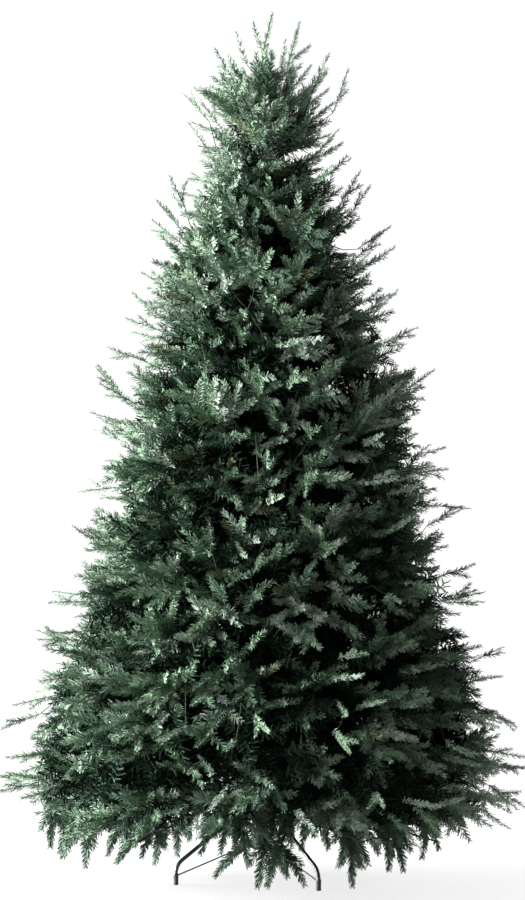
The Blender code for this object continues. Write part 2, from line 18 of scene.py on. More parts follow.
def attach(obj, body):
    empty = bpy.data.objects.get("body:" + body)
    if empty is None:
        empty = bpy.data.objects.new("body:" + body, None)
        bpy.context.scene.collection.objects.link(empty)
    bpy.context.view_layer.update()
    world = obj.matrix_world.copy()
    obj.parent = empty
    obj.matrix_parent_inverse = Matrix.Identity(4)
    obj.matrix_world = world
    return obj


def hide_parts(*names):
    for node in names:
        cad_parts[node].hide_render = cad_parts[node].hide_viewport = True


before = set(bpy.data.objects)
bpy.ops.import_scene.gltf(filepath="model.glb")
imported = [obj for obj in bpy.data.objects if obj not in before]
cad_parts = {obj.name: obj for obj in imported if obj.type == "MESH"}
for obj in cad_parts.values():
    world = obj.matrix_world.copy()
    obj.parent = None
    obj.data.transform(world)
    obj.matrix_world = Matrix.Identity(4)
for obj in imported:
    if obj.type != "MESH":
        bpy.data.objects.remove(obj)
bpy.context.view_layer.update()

# ---------------------------------------------------------------- the crown's shape, as in its solids

TREE_HEIGHT = 2.28
LEAN = 0.018
LEAN_FROM_HEIGHT = 1.0
CLEARANCE = 0.0003
REACH = (  # (height, radius) of the outline
    (0.00, 0.40),
    (0.06, 0.54),
    (0.14, 0.660),
    (0.25, 0.700),
    (0.33, 0.688),
    (0.50, 0.648),
    (0.71, 0.585),
    (0.84, 0.535),
    (1.00, 0.505),
    (1.15, 0.455),
    (1.34, 0.432),
    (1.43, 0.375),
    (1.62, 0.325),
    (1.80, 0.268),
    (1.88, 0.208),
    (2.00, 0.192),
    (2.12, 0.182),
    (2.20, 0.150),
    (2.28, 0.080),
)
SKIRT = (  # (radius, height) of the lowest tier's underside
    (0.00, 0.262),
    (0.23, 0.212),
    (0.28, 0.080),
    (0.35, 0.018),
    (0.45, 0.018),
    (0.56, 0.062),
    (0.70, 0.170),
)
TIER_SURFACES = (  # each tier's roof: its height at the pole, its slope, and how it droops
    (0.335, 0.35, 0.50),
    (0.60, 0.40, 0.45),
    (0.88, 0.50, 0.50),
    (1.20, 0.55, 0.40),
    (1.74, 0.52, 0.0),
)
WAVE = 0.075
WAVES = 4
WAVE_SHIFT = 1.9
TWIST_FROM = 0.30
MIDDLE_RADIUS = 0.4  # where a room's middle height is taken

# What grows in one mass: how far its tips keep under the outline, how much deeper they may sit, and how many
# shoots of each kind it has.
Growth = namedtuple("Growth", "inset sink paws sprigs hanging roof deep core spikes")
# A tier's letter, the number of its masses, the azimuth of the first in degrees, its twist round the pole,
# the lift of its shoots in degrees, the height of its ring on the pole, and how far out its masses start.
Tier = namedtuple("Tier", "letter masses turn twist lift ring start growth")
TIERS = (
    Tier("a", 6, 30, 0.7, -14, 0.292, 0.17, Growth(0.028, 0.085, 8, 19, 8, 0, 15, 25, 8)),
    Tier("b", 6, 18, -0.7, -3, 0.47, 0.17, Growth(0.028, 0.080, 5, 15, 0, 0, 12, 20, 7)),
    Tier("c", 5, 34, 0.7, 9, 0.74, 0.16, Growth(0.030, 0.080, 5, 16, 0, 0, 12, 20, 7)),
    Tier("d", 5, 54, -0.7, 20, 1.05, 0.14, Growth(0.018, 0.060, 5, 15, 0, 0, 14, 20, 8)),
    Tier("e", 4, 20, 0.8, 31, 1.42, 0.02, Growth(0.012, 0.070, 6, 15, 0, 6, 15, 17, 9)),
)
NO_BOUGH = 0.1  # masses that start nearer the pole than this have no boughs
LAST_TIER = len(TIERS) - 1
OVERHANG = 0.11  # how far shoots may cross into the next room
DEEP_OVERHANG = 0.15
TOP_FLOOR = 1.80
TOP_RISE = (0.01, 0.37)  # over the top's floor: its lowest shoots, and how much higher the others reach
TOP_SPREAD = 1.3  # above 1, more shoots are low than high
TOP_CLEAR = 0.025  # how far the top's shoots keep from the pole's axis
TOP_HEADROOM = 0.075
TOP_LIFT = (4, 66)  # in degrees: that of its lowest shoots, and how much more the highest have
TOP_HEAD = (0.008, 0, TREE_HEIGHT - 0.12)
TOP_LIMBS = 5
TOP_LIMB_DEPTH = 0.10
TOP_LIMB_STARTS = (0.04, 0.09)  # along the stem: the lowest limb's start, and the step to the next
TOP_LIMB_LEVELS = (0.25, 0.12)  # the same for the levels of their ends
TOP_GROWTH = Growth(0.006, 0.060, 8, 25, 0, 0, 17, 0, 14)
LEADER_DROP = 0.008  # a leader's tip, without its last needles, is this much lower than the table says
LEADER_BOW = -0.004
LEADER_SPRING = 0.05  # how far below a leader's root its twig leaves the stem
LEADERS = (  # the uppermost shoots: (tip, root)
    ((0.032, 0.004, 2.280), (0.006, 0.002, 2.165)),
    ((-0.019, 0.014, 2.258), (0.004, 0.004, 2.180)),
    ((0.102, -0.030, 2.251), (0.070, -0.015, 2.125)),
    ((0.131, -0.020, 2.194), (0.085, -0.015, 2.150)),
    ((0.065, -0.050, 2.203), (0.055, -0.030, 2.115)),
    ((-0.063, -0.028, 2.226), (-0.035, -0.015, 2.135)),
    ((-0.118, 0.010, 2.188), (-0.070, 0.005, 2.095)),
    ((-0.084, -0.050, 2.164), (-0.050, -0.030, 2.080)),
    ((0.134, 0.030, 2.147), (0.092, 0.020, 2.085)),
    ((0.174, -0.020, 2.123), (0.098, -0.010, 2.025)),
    ((0.180, -0.060, 2.077), (0.100, -0.040, 2.010)),
    ((0.194, 0.020, 2.048), (0.120, 0.010, 1.985)),
    ((-0.171, -0.015, 2.082), (-0.070, -0.010, 2.030)),
    ((-0.127, -0.050, 2.109), (-0.060, -0.030, 2.060)),
    ((-0.180, 0.030, 1.998), (-0.085, 0.015, 1.950)),
    ((-0.160, -0.040, 1.928), (-0.090, -0.030, 1.915)),
    ((0.216, 0.000, 1.940), (0.130, 0.000, 1.885)),
    ((0.020, 0.098, 2.212), (0.010, 0.050, 2.120)),
    ((0.010, -0.104, 2.180), (0.005, -0.050, 2.095)),
    ((-0.045, 0.130, 2.150), (-0.020, 0.070, 2.070)),
    ((0.060, 0.155, 2.095), (0.030, 0.085, 2.025)),
    ((-0.040, -0.150, 2.085), (-0.020, -0.075, 2.010)),
    ((0.070, -0.170, 2.020), (0.035, -0.085, 1.955)),
)

DROOP_DEPTH = -0.42
DROOP_SCATTER = 0.11  # how much further in some of them hang
DROOP_WAY = (-0.32, 0.30, -0.85)  # their lean towards the front, how it varies, and their fall
DROOP = 0.125  # length
DROOP_BOW = 0.006
DROOP_SIDE = 0.070
DROOP_SIDE_ROOT = 0.02  # its side shoots spring at most this far down from its root
DROOP_SIDE_OUT = (0.35, 0.60)
DROOPS = (  # the lowest shoots over the stand's front: (x, height, how far its root lies to +X of its tip)
    (-0.113, 0.062, 0.80),
    (-0.006, 0.029, 0.15),
    (0.017, 0.041, 0.30),
    (0.068, 0.055, -0.50),
    (0.111, 0.041, -0.55),
    (0.230, 0.041, 0.00),
    (0.251, 0.079, -0.35),
    (0.204, 0.100, 0.15),
    (0.297, 0.117, -0.55),
    (0.171, 0.129, -0.25),
    (0.321, 0.084, 0.00),
    (-0.151, 0.112, 0.45),
    (-0.099, 0.122, 0.20),
    (-0.208, 0.117, 0.10),
    (0.030, 0.110, 0.00),
    (-0.145, 0.168, 0.30),
    (-0.178, 0.150, -0.20),
    (-0.060, 0.145, -0.10),
    (-0.028, 0.092, -0.25),
    (0.048, 0.090, 0.20),
    (0.075, 0.150, 0.10),
    (0.104, 0.128, 0.25),
    (0.140, 0.160, -0.15),
    (-0.080, 0.172, 0.30),
    (0.010, 0.165, -0.35),
    (0.358, 0.078, -0.10),
    (0.405, 0.112, 0.20),
    (0.450, 0.125, -0.30),
)
DROOP_TURNS = (0, 120, 240)  # the same shoots hang between each two legs
UNDERSIDE = (  # (radius, height) that the lowest tier's other shoots keep over
    (0.00, 0.262),
    (0.23, 0.212),
    (0.30, 0.150),
    (0.50, 0.140),
    (0.56, 0.095),
    (0.62, 0.115),
    (0.70, 0.170),
)
FRONT = math.radians(-90)
FRONT_HALF = math.radians(30)  # to each side of the front, where the stand shows
FRONT_FLOOR = 0.165  # the height that they keep over there
TUCK = 0.07  # how far the hem of the skirt draws in at -X
TUCK_HEIGHT = 0.22

# ---------------------------------------------------------------- sizes of the pole and the stand

POLE_FOOT = 0.092
POLE_SECTIONS = ((0.62, 0.0160), (1.22, 0.0135), (1.80, 0.0110))
SLEEVE_HEIGHT = 0.045
SLEEVE_WALL = 0.002
RING_RADIUS = 0.024
RING_HEIGHT = 0.014
RING_SIDES = 10
POLE_EDGE = 0.0012
LIMB_TIP_RADIUS = 0.0022
BOUGH_ROOT_RADIUS = 0.0065
BOUGH_TIP_RADIUS = 0.0048
BOUGH_SAG = 0.006
BOUGH_STEPS = 12
LEG_AZIMUTHS = (192, 312, 72)
FOOT_REACH = 0.2240
LEG_RADIUS = 0.0051
LEG_SLOPE = math.radians(38)
LEG_CORNER_HEIGHT = 0.0510
LEG_BEND_RADIUS = 0.046
LEG_BEND_STEPS = 16
LEG_TOP_REACH = 0.027
FOOT_HEIGHT = 0.0215
FOOT_WALL = 0.0013
FOOT_SOLE = 0.0040
FOOT_EDGE = 0.0008
GROOVES = (0.0060, 0.0108)  # the height at which each groove of a foot begins
GROOVE = ((0, 0), (0.0006, 0.0006), (0.0022, 0.0006), (0.0028, 0))  # (height, depth) over its run
BRACE_RADIUS = 0.0019
BRACE_FOOT_HEIGHT = 0.0286
BRACE_TOP = (0.027, 0.1010)
BRACE_EYE_HEIGHT = 0.0064
BRACE_EYE_WALL = 0.0016
BRACE_EYE_EDGE = 0.0006
BRACE_EDGE = 0.0005
HUB_BOTTOM = 0.087
HUB_TOP = 0.216
HUB_WALL = 0.0040
HUB_FLOOR = 0.0047
HUB_EDGE = 0.001
EAR_THICKNESS = 0.0026
EAR_REACH = 0.037
EAR_HEIGHT = 0.020
EAR_STEPS = 8
BOLT_RADIUS = 0.0036
BOLT_HEAD = 0.0028
BOLT_SINK = 0.0002
SHARP = math.radians(35)  # edges that turn by more than this stay sharp
WIDE_ROUND = 40  # the sides of a round piece
SMALL_ROUND = 32
ROD_ROUND = 20

# ---------------------------------------------------------------- sizes of needles, shoots and twigs

# A pair with no comment is a least and a greatest value. Angles, rolls, falls and strays are in degrees, and
# jitters and twists in radians.
NEEDLE = (0.0192, 0.0027, 0.0018)  # length, width at its root, width at its tip
NEEDLE_SPACING = 0.00113
NEEDLE_FOLD = 0.0006
NEEDLE_SPREAD = (math.radians(57), math.radians(36))  # how far needles open, at a shoot's root and tip
NEEDLE_JITTER = 0.08
NEEDLE_TWIST = (1.1, 2.0)  # how far needles turn about their own length
NEEDLE_SIZES = (0.86, 1.08)
FAN_JITTER = 1.15  # how far needles stray from the flat of their shoot's fan
SHORTER_FROM = 0.62  # from this share of a shoot on, its needles shorten
SHORTEST = 0.60  # down to this share of their full length
GOLDEN_ANGLE = 2.39996  # in radians
FILLER = (0.0270, 0.0048, 0.0038)
FILLER_SPACING = 0.0034
FILLER_MARGIN = 0.070  # filler keeps this far under the outline
FILLER_DEPTH = (0.09, 0.17)
SKIRT_FILLER = (0.22, 0.86)  # the level where filler begins, and how much higher it reaches
TIER_FILLER = (-0.075, 1.15)
TOP_FILLER = (0.0, 0.8)
CORE_NEEDLE = (0.0460, 0.0088, 0.0066)
CORE_SPACING = 0.0068
CORE_MARGIN = 0.075
CORE_FLOOR = ((0.25, 0.27), (0.40, 0.18))  # (radius, height) that the core keeps over
CORE_START = 0.05  # the radius of the innermost whorls of the core
CORE_LESS = 0.23  # from there they spread out over the outline's radius less this
CORE_WHORL = (0.12, 0.105)  # the lengths of its leading shoot and of its side shoots
INNER_SPREAD = (math.radians(72), math.radians(40))
INNER_JITTER = 0.35
INNER_SEED = 7
WHORL_SHOOTS = 5
WHORL_PLACES = (0.15, 0.12)  # along the leading shoot: the first side shoot, and the step to the next
WHORL_TURN = 0.4  # of a full turn from each side shoot to the next
WHORL_FORWARD = 0.6
WHORL_OUT = (0.7, 1.0)
WHORL_SIZES = (0.8, 1.1)
WHORL_BOWS = (0.004, 0.006)  # of the leading shoot and of its side shoots
SHOOTS = ((0.06, 0.094), (0.26, 0.086), (0.46, 0.072))  # a sprig's side shoots: (place, length)
SHOOT_SHIFT = 0.04  # how far their places shift
SHOOT_ANGLES = (32, 50)
SHOOT_RISE = 0.2
SHOOT_SIZES = (0.85, 1.08)
SHOOT_BOW = 0.005
SPRIG = 0.145  # length of a sprig's leading shoot
SPRIG_SIZES = (0.85, 1.1)
SPRIG_ROLL = 50
SPRIG_BOW = (-0.004, 0.006)
SPRIG_DEPTH = (0.01, 0.10)  # how deep its tip sits, below the inset of its mass
SPRIG_TRIES = 12
SPRIG_STEP = 0.035  # the share of the way to its paw's root that it moves at each try
PAW = 0.24  # from a paw's root to its tip
PAW_SPRIGS = 4
PAW_WIDTH = (0.055, 0.090)
PAW_JITTER = 0.3
PAW_BACK = (0.2, 0.8)  # how far its outer tips lie behind the middle one, in shares of its width
PAW_AIM = 0.35  # its sprigs point away from this share of the way from its root to its tip
PAW_SAG = 0.02
ROOF_DEPTH = (0.05, 0.19)
HANGING_RADII = (0.32, 0.28)  # the innermost hanging shoots, and how much further out the others are
HANGING_RISE = 0.03
HANGING_FALL = (-70, -38)
HANGING_LESS = 12  # how much less the outermost ones fall than the innermost
HANGING_STRAY = 25
STRAY = 12  # how far shoots stray up and down from the lift of their room
ROOF_STRAY = 14
FILLER_STRAY = 20
CORE_STRAY = 40
SIDE_STRAY = 20  # how far all of them stray sideways
LIMB_ENDS = ((0.0, 0.5), (-0.55, 0.30), (0.55, 0.34), (-0.45, 0.74), (0.5, 0.78))  # (across, level)
LIMB_DEPTH = 0.11
LIMB_SAG = 0.03
LIMB_STEPS = 4
SPIKE = (0.095, 0.125)  # a shoot that stands out on its own: least and greatest length
SPIKE_ROLL = 60
SPIKE_BOW = 0.006
SPIKE_SIDE = 0.055
SPIKE_SIDE_PLACES = (0.20, 0.45)
SPIKE_SIDE_OUT = (0.5, 0.9)
SIDE_BOW = 0.004  # of the side shoots of spikes and droops
SPIKE_CROWD = 0.6  # the share of its length where it counts for the next shoots
SPIKE_OUT = (0.012, 0.042)  # how far it stands out of the other shoots: least and greatest
SPIKE_SHADES = (3, 4, 4, 5)  # numbers of needle tints
SLIM = 0.68  # the size of its needles
TWIG_THICK = 0.0011
TWIG_TAPER = 0.6  # a shoot's tip against its root
TWIG_ROOT = 1.7  # a twig's root against its end
TWIG_SAG = 0.10
TWIG_INWARD = 0.05  # a twig's root is best this much nearer the pole than its end
TWIG_COST = 0.6  # what a metre short of that counts for, beside a metre of twig
NO_FACE = (0, 0, 1)  # for a path with no needles
CROWDING_REACH = 0.07  # shoots further apart than this don't crowd one another
CROWDING_BACK = 0.05  # how far behind a shoot's tip its crowding is taken
EVEN_STEPS = (0.754878, 0.569840)  # steps across and up that never clump
EVEN_SHIFTS = (0.13, 0.37)
EVEN_LEVELS = (0.03, 0.94)  # the lowest level, and how much higher the others reach
TRIES = 9
TRY_LEVELS = (0.02, 0.98)
SEED = 5000
SEED_STEP = 100  # from each tier to the next
LIFT_RANGE = 44  # how much more a mass's uppermost shoots lift than its lowest, in degrees
LIFT_LEVEL = 0.45  # the level where they have their tier's own lift
SETTLING_STEPS = 5  # how often a place's radius is corrected

# ---------------------------------------------------------------- where each mass may grow


def along(table, x):
    """The second value of a table at x, on straight lines between its rows."""
    if x <= table[0][0]:
        return table[0][1]
    for (x0, y0), (x1, y1) in zip(table, table[1:]):
        if x <= x1:
            return y0 + (y1 - y0) * (x - x0) / (x1 - x0)
    return table[-1][1]


def polar(radius, azimuth, height):
    return Vector((radius * math.cos(azimuth), radius * math.sin(azimuth), height))


def heading(azimuth, lift):
    """The unit vector that points to an azimuth and rises by lift, both in radians."""
    return Vector((math.cos(azimuth) * math.cos(lift), math.sin(azimuth) * math.cos(lift), math.sin(lift)))


def reach(azimuth, height):
    lean = LEAN * min(1.0, max(0.0, height / LEAN_FROM_HEIGHT))
    return along(REACH, height) + lean * math.cos(azimuth)


def tier_floor(tier, radius, azimuth):
    if tier == 0:
        return along(SKIRT, radius)
    return tier_roof(tier - 1, radius, azimuth)


def tier_roof(tier, radius, azimuth):
    height, rise, droop = TIER_SURFACES[tier]
    wave = WAVE * radius * math.cos(WAVES * azimuth + WAVE_SHIFT * tier)
    return height + rise * radius - droop * radius * radius + wave


def mid_height(tier, azimuth, radius=MIDDLE_RADIUS):
    return 0.5 * (tier_floor(tier, radius, azimuth) + tier_roof(tier, radius, azimuth))


def twist(tier, radius):
    return TIERS[tier].twist * (radius - TWIST_FROM)


def bough_tip(tier, middle):
    start = TIERS[tier].start
    azimuth = middle + twist(tier, start)
    return polar(start, azimuth, mid_height(tier, azimuth, start))


def sagging(start, end, sag, steps):
    """Points from start to end, which lie lower by sag at their middle."""
    shares = [i / steps for i in range(steps + 1)]
    return [start.lerp(end, t) - Vector((0, 0, sag * math.sin(math.pi * t))) for t in shares]


def wrapped_angle(angle):
    """The same angle from -pi to pi."""
    return (angle + math.pi) % math.tau - math.pi


class Room:
    """The room of one mass: a sector of a tier."""

    tip_weights = (0, 0, 2, 8, 6, 0)  # how often a paw has each tint, from darkest to palest
    filler_size = (0.15, 0.095)  # the lengths of a whorl's leading shoot and side shoots

    def __init__(self, tier, number):
        self.tier = tier
        self.kind = TIERS[tier]
        self.growth = self.kind.growth
        self.half = math.pi / self.kind.masses
        self.middle = wrapped_angle(math.radians(self.kind.turn) + 2 * self.half * number)

    def azimuth(self, across, radius):
        """The azimuth at a place from the room's one side, -1, to its other, 1."""
        return self.middle + twist(self.tier, radius) + across * self.half

    def place(self, across, level, depth):
        """A point at a depth under the outline, at a level from the room's floor, 0, to its roof, 1."""
        radius = reach(self.middle, mid_height(self.tier, self.middle))
        for _ in range(SETTLING_STEPS):
            azimuth = self.azimuth(across, radius)
            floor = tier_floor(self.tier, radius, azimuth)
            height = floor + (tier_roof(self.tier, radius, azimuth) - floor) * level
            radius = reach(azimuth, height) - depth
        return polar(radius, azimuth, height), azimuth

    def underside(self, radius, azimuth):
        """How low the room's shoots may hang: those of the skirt keep clear of the stand."""
        if self.tier:
            return tier_floor(self.tier, radius, azimuth) - OVERHANG
        low = along(UNDERSIDE, radius)
        return max(low, FRONT_FLOOR) if abs(azimuth - FRONT) < FRONT_HALF else low

    def hanging_place(self, across, share):
        """A point on the skirt's underside, further out as share goes from 0 to 1."""
        radius = HANGING_RADII[0] + HANGING_RADII[1] * share
        azimuth = self.azimuth(across, radius)
        return polar(radius, azimuth, self.underside(radius, azimuth) + HANGING_RISE), azimuth

    def core_place(self, across, level, share):
        """A point inside the crown, from near the pole, at share 0, to behind the shoots, at share 1."""
        run = max(0.0, reach(self.middle, mid_height(self.tier, self.middle)) - CORE_LESS)
        radius = CORE_START + run * share
        azimuth = self.azimuth(across, radius)
        floor = max(tier_floor(self.tier, radius, azimuth), along(CORE_FLOOR, radius))
        height = floor + (tier_roof(self.tier, radius, azimuth) - floor) * level
        return polar(radius, azimuth, height), azimuth

    def lift(self, level):
        return math.radians(self.kind.lift + LIFT_RANGE * (level - LIFT_LEVEL))

    def holds(self, point, overhang, margin=0.0):
        """True if a point is in the room, or not far into the next, and a margin under the outline."""
        radius = math.hypot(point.x, point.y)
        azimuth = math.atan2(point.y, point.x)
        off = wrapped_angle(azimuth - self.azimuth(0, radius))
        if radius * (abs(off) - self.half) > overhang:
            return False
        if not self.underside(radius, azimuth) < point.z < tier_roof(self.tier, radius, azimuth) + overhang:
            return False
        if self.tier == 0 and point.z < TUCK_HEIGHT:
            margin += TUCK * max(0.0, -math.cos(azimuth))
        return radius < reach(azimuth, point.z) - margin

    def owns(self, point):
        """True if a point is in this room's sector of the lowest tier."""
        off = wrapped_angle(math.atan2(point.y, point.x) - self.azimuth(0, point.xy.length))
        return self.tier == 0 and abs(off) <= self.half

    def filler_level(self, level):
        """Filler reaches over the room's roof and floor, but stays clear of the skirt's underside."""
        first, run = TIER_FILLER if self.tier else SKIRT_FILLER
        return first + run * level

    def limbs(self):
        """The limbs that fan out through the mass: lists of points, from its foot to near the outline."""
        foot = bough_tip(self.tier, self.middle)
        if self.kind.start < NO_BOUGH:
            foot = polar(RING_RADIUS + CLEARANCE, self.middle, self.kind.ring)
        ends = [self.place(across, level, LIMB_DEPTH)[0] for across, level in LIMB_ENDS]
        return [sagging(foot, end, LIMB_SAG, LIMB_STEPS) for end in ends]


class TopRoom:
    """The room above the last tier, round the pole's top."""

    growth = TOP_GROWTH
    # mostly the palest tints: the top is paler, partly as painted light on the lit top
    tip_weights = (0, 0, 0, 1, 4, 7)
    filler_size = (0.10, 0.065)

    def place(self, across, level, depth):
        azimuth = across * math.pi
        height = TOP_FLOOR + TOP_RISE[0] + TOP_RISE[1] * level**TOP_SPREAD
        return polar(max(TOP_CLEAR, reach(azimuth, height) - depth), azimuth, height), azimuth

    def lift(self, level):
        return math.radians(TOP_LIFT[0] + TOP_LIFT[1] * level)

    def holds(self, point, overhang, margin=0.0):
        azimuth = math.atan2(point.y, point.x)
        floor = tier_roof(LAST_TIER, point.xy.length, azimuth) - overhang
        if not floor < point.z < TREE_HEIGHT - TOP_HEADROOM:
            return False
        return point.xy.length < reach(azimuth, point.z) - margin

    def owns(self, point):
        return False

    def filler_level(self, level):
        return TOP_FILLER[0] + TOP_FILLER[1] * level

    def limbs(self):
        foot = Vector((0, 0, POLE_SECTIONS[-1][0] + CLEARANCE))
        head = Vector(TOP_HEAD)
        limbs = [sagging(foot, head, 0.0, LIMB_STEPS)]
        for i in range(TOP_LIMBS):
            level = TOP_LIMB_LEVELS[0] + TOP_LIMB_LEVELS[1] * i
            end, _ = self.place(2 * i / TOP_LIMBS - 1, level, TOP_LIMB_DEPTH)
            start = foot.lerp(head, TOP_LIMB_STARTS[0] + TOP_LIMB_STARTS[1] * i)
            limbs.append(sagging(start, end, 0.0, LIMB_STEPS))
        return limbs


# ---------------------------------------------------------------- node trees


class Tree:
    """A node tree that is built from named nodes."""

    def __init__(self, tree):
        self.tree = tree

    def add(self, kind, inputs=(), **settings):
        """Adds a node with its settings, and links or sets its inputs by their names or numbers."""
        node = self.tree.nodes.new(kind)
        for name, value in settings.items():
            setattr(node, name, value)
        for name, value in dict(inputs).items():
            socket = node.inputs[name]
            if isinstance(value, bpy.types.NodeSocket):
                self.tree.links.new(value, socket)
            else:
                socket.default_value = value
        return node

    def math(self, operation, first, second=0.0):
        return self.add("ShaderNodeMath", {0: first, 1: second}, operation=operation).outputs[0]


def geometry_tree(name, **inputs):
    """A geometry node tree with a geometry input and the given ones, each a (socket type, default) pair."""
    group = bpy.data.node_groups.new(name, "GeometryNodeTree")
    group.interface.new_socket("Geometry", in_out="INPUT", socket_type="NodeSocketGeometry")
    for title, (kind, default) in inputs.items():
        socket = group.interface.new_socket(title, in_out="INPUT", socket_type="NodeSocket" + kind)
        if default is not None:
            socket.default_value = default
    group.interface.new_socket("Geometry", in_out="OUTPUT", socket_type="NodeSocketGeometry")
    tree = Tree(group)
    return tree, tree.add("NodeGroupInput").outputs, tree.add("NodeGroupOutput").inputs["Geometry"]


def grown(name, paths, tree, **inputs):
    """The plain mesh object that a geometry tree makes of a mesh of paths."""
    obj = bpy.data.objects.new(name, paths)
    bpy.context.scene.collection.objects.link(obj)
    modifier = obj.modifiers.new("grow", "NODES")
    modifier.node_group = tree.tree
    for item in tree.tree.interface.items_tree:
        if item.in_out == "INPUT" and item.name in inputs:
            modifier[item.identifier] = inputs[item.name]
    bpy.context.view_layer.update()
    mesh = bpy.data.meshes.new_from_object(obj.evaluated_get(bpy.context.evaluated_depsgraph_get()))
    obj.modifiers.remove(modifier)
    obj.data = mesh
    bpy.data.meshes.remove(paths)
    mesh.name = name
    return obj


def paths_mesh(paths):
    """A mesh of open paths.

    Each is (points, tint, thickness at its root, thickness at its tip, the way its fan faces).
    """
    vertices, edges, tints, thick, faces = [], [], [], [], []
    for points, tint, root, tip, face in paths:
        first = len(vertices)
        vertices += [tuple(p) for p in points]
        edges += [(first + i, first + i + 1) for i in range(len(points) - 1)]
        tints += [tint] * len(points)
        thick += [root + (tip - root) * i / (len(points) - 1) for i in range(len(points))]
        faces += [*face] * len(points)
    mesh = bpy.data.meshes.new("paths")
    mesh.from_pydata(vertices, edges, [])
    mesh.attributes.new("tint", "INT", "POINT").data.foreach_set("value", tints)
    mesh.attributes.new("thick", "FLOAT", "POINT").data.foreach_set("value", thick)
    mesh.attributes.new("face", "FLOAT_VECTOR", "POINT").data.foreach_set("vector", faces)
    return mesh


def named(tree, name, kind="FLOAT"):
    return tree.add("GeometryNodeInputNamedAttribute", {"Name": name}, data_type=kind).outputs["Attribute"]


def stored(tree, geometry, name, value):
    """Keeps a value on a geometry's points, under a name."""
    settings = {"Geometry": geometry, "Name": name, "Value": value}
    return tree.add("GeometryNodeStoreNamedAttribute", settings, data_type="FLOAT", domain="POINT").outputs[0]


def even_curve(tree, geometry, step):
    """Curves along a mesh of paths, with a point at every step."""
    curve = tree.add("GeometryNodeMeshToCurve", {"Mesh": geometry}).outputs[0]
    return tree.add("GeometryNodeResampleCurve", {"Curve": curve, "Length": step}, mode="LENGTH").outputs[0]


def ring_curve(tree, sides):
    return tree.add("GeometryNodeCurvePrimitiveCircle", {"Resolution": sides, "Radius": 1.0}).outputs[0]


def swept(tree, curve, ring):
    """A closed tube along every curve, as thick as its path says."""
    settings = {"Curve": curve, "Profile Curve": ring, "Fill Caps": True, "Scale": named(tree, "thick")}
    return tree.add("GeometryNodeCurveToMesh", settings).outputs[0]


def dealt(tree, geometry, materials):
    """Gives each face the material of its tint."""
    tint = named(tree, "tint", "INT")
    for number, material in enumerate(materials):
        chosen = tree.add("FunctionNodeCompare", {2: tint, 3: number}, data_type="INT", operation="EQUAL")
        setter = {"Geometry": geometry, "Selection": chosen.outputs[0], "Material": material}
        geometry = tree.add("GeometryNodeSetMaterial", setter).outputs[0]
    return geometry


def needle_tree(tints):
    """Needles along every path, by turns: wide open at its root, and closing towards its tip."""
    tree, given, result = geometry_tree(
        "needles_on_shoots",
        Needle=("Object", None),
        Spacing=("Float", NEEDLE_SPACING),
        Root_Spread=("Float", NEEDLE_SPREAD[0]),
        Tip_Spread=("Float", NEEDLE_SPREAD[1]),
        Turn=("Float", math.pi),
        Turn_Jitter=("Float", FAN_JITTER),
        Seed=("Int", 1),
    )
    curve = even_curve(tree, given["Geometry"], given["Spacing"])
    curve = stored(tree, curve, "share", tree.add("GeometryNodeSplineParameter").outputs["Factor"])
    points = tree.add("GeometryNodeCurveToPoints", {"Curve": curve}, mode="EVALUATED").outputs
    share = named(tree, "share")

    def vary(low, high, shift):
        """A random value for each needle. The shift keeps one kind of value apart from another."""
        settings = {2: low, 3: high, "Seed": tree.math("ADD", given["Seed"], shift)}
        return tree.add("FunctionNodeRandomValue", settings, data_type="FLOAT").outputs[1]

    def rotated(rotation, axis, angle):
        """A rotation that is turned further, about one of its own axes."""
        angles = tree.add("ShaderNodeCombineXYZ", {axis: angle}).outputs[0]
        further = tree.add("FunctionNodeEulerToRotation", {0: angles}).outputs[0]
        settings = {"Rotation": rotation, "Rotate By": further}
        return tree.add("FunctionNodeRotateRotation", settings, rotation_space="LOCAL").outputs[0]

    tangent = {"Vector": points["Tangent"]}
    aligned = tree.add("FunctionNodeAlignRotationToVector", tangent, axis="Z").outputs[0]
    faced = {"Rotation": aligned, "Vector": named(tree, "face", "FLOAT_VECTOR")}
    aligned = tree.add("FunctionNodeAlignRotationToVector", faced, axis="X", pivot_axis="Z").outputs[0]
    spin = tree.math("MULTIPLY", tree.add("GeometryNodeInputIndex").outputs[0], given["Turn"])
    spin = tree.math("ADD", spin, tree.math("MULTIPLY", vary(-1.0, 1.0, 11), given["Turn_Jitter"]))
    spread = {"Value": share, "To Min": given["Root_Spread"], "To Max": given["Tip_Spread"]}
    opening = tree.add("ShaderNodeMapRange", spread).outputs[0]
    opening = tree.math("ADD", opening, vary(-NEEDLE_JITTER, NEEDLE_JITTER, 23))
    turned = rotated(rotated(aligned, "Z", spin), "X", opening)
    turned = rotated(turned, "Z", vary(*NEEDLE_TWIST, 41))
    lengths = {"Value": share, "From Min": SHORTER_FROM, "To Min": 1.0, "To Max": SHORTEST}
    shorter = tree.add("ShaderNodeMapRange", lengths).outputs[0]
    size = tree.math("MULTIPLY", shorter, named(tree, "thick"))
    size = tree.math("MULTIPLY", size, vary(*NEEDLE_SIZES, 37))
    needle = tree.add("GeometryNodeObjectInfo", {"Object": given["Needle"]}).outputs["Geometry"]
    placed = {"Points": points["Points"], "Instance": needle, "Rotation": turned, "Scale": size}
    needles = tree.add("GeometryNodeInstanceOnPoints", placed).outputs[0]
    needles = tree.add("GeometryNodeRealizeInstances", {"Geometry": needles}).outputs[0]
    tree.tree.links.new(dealt(tree, needles, tints), result)
    return tree


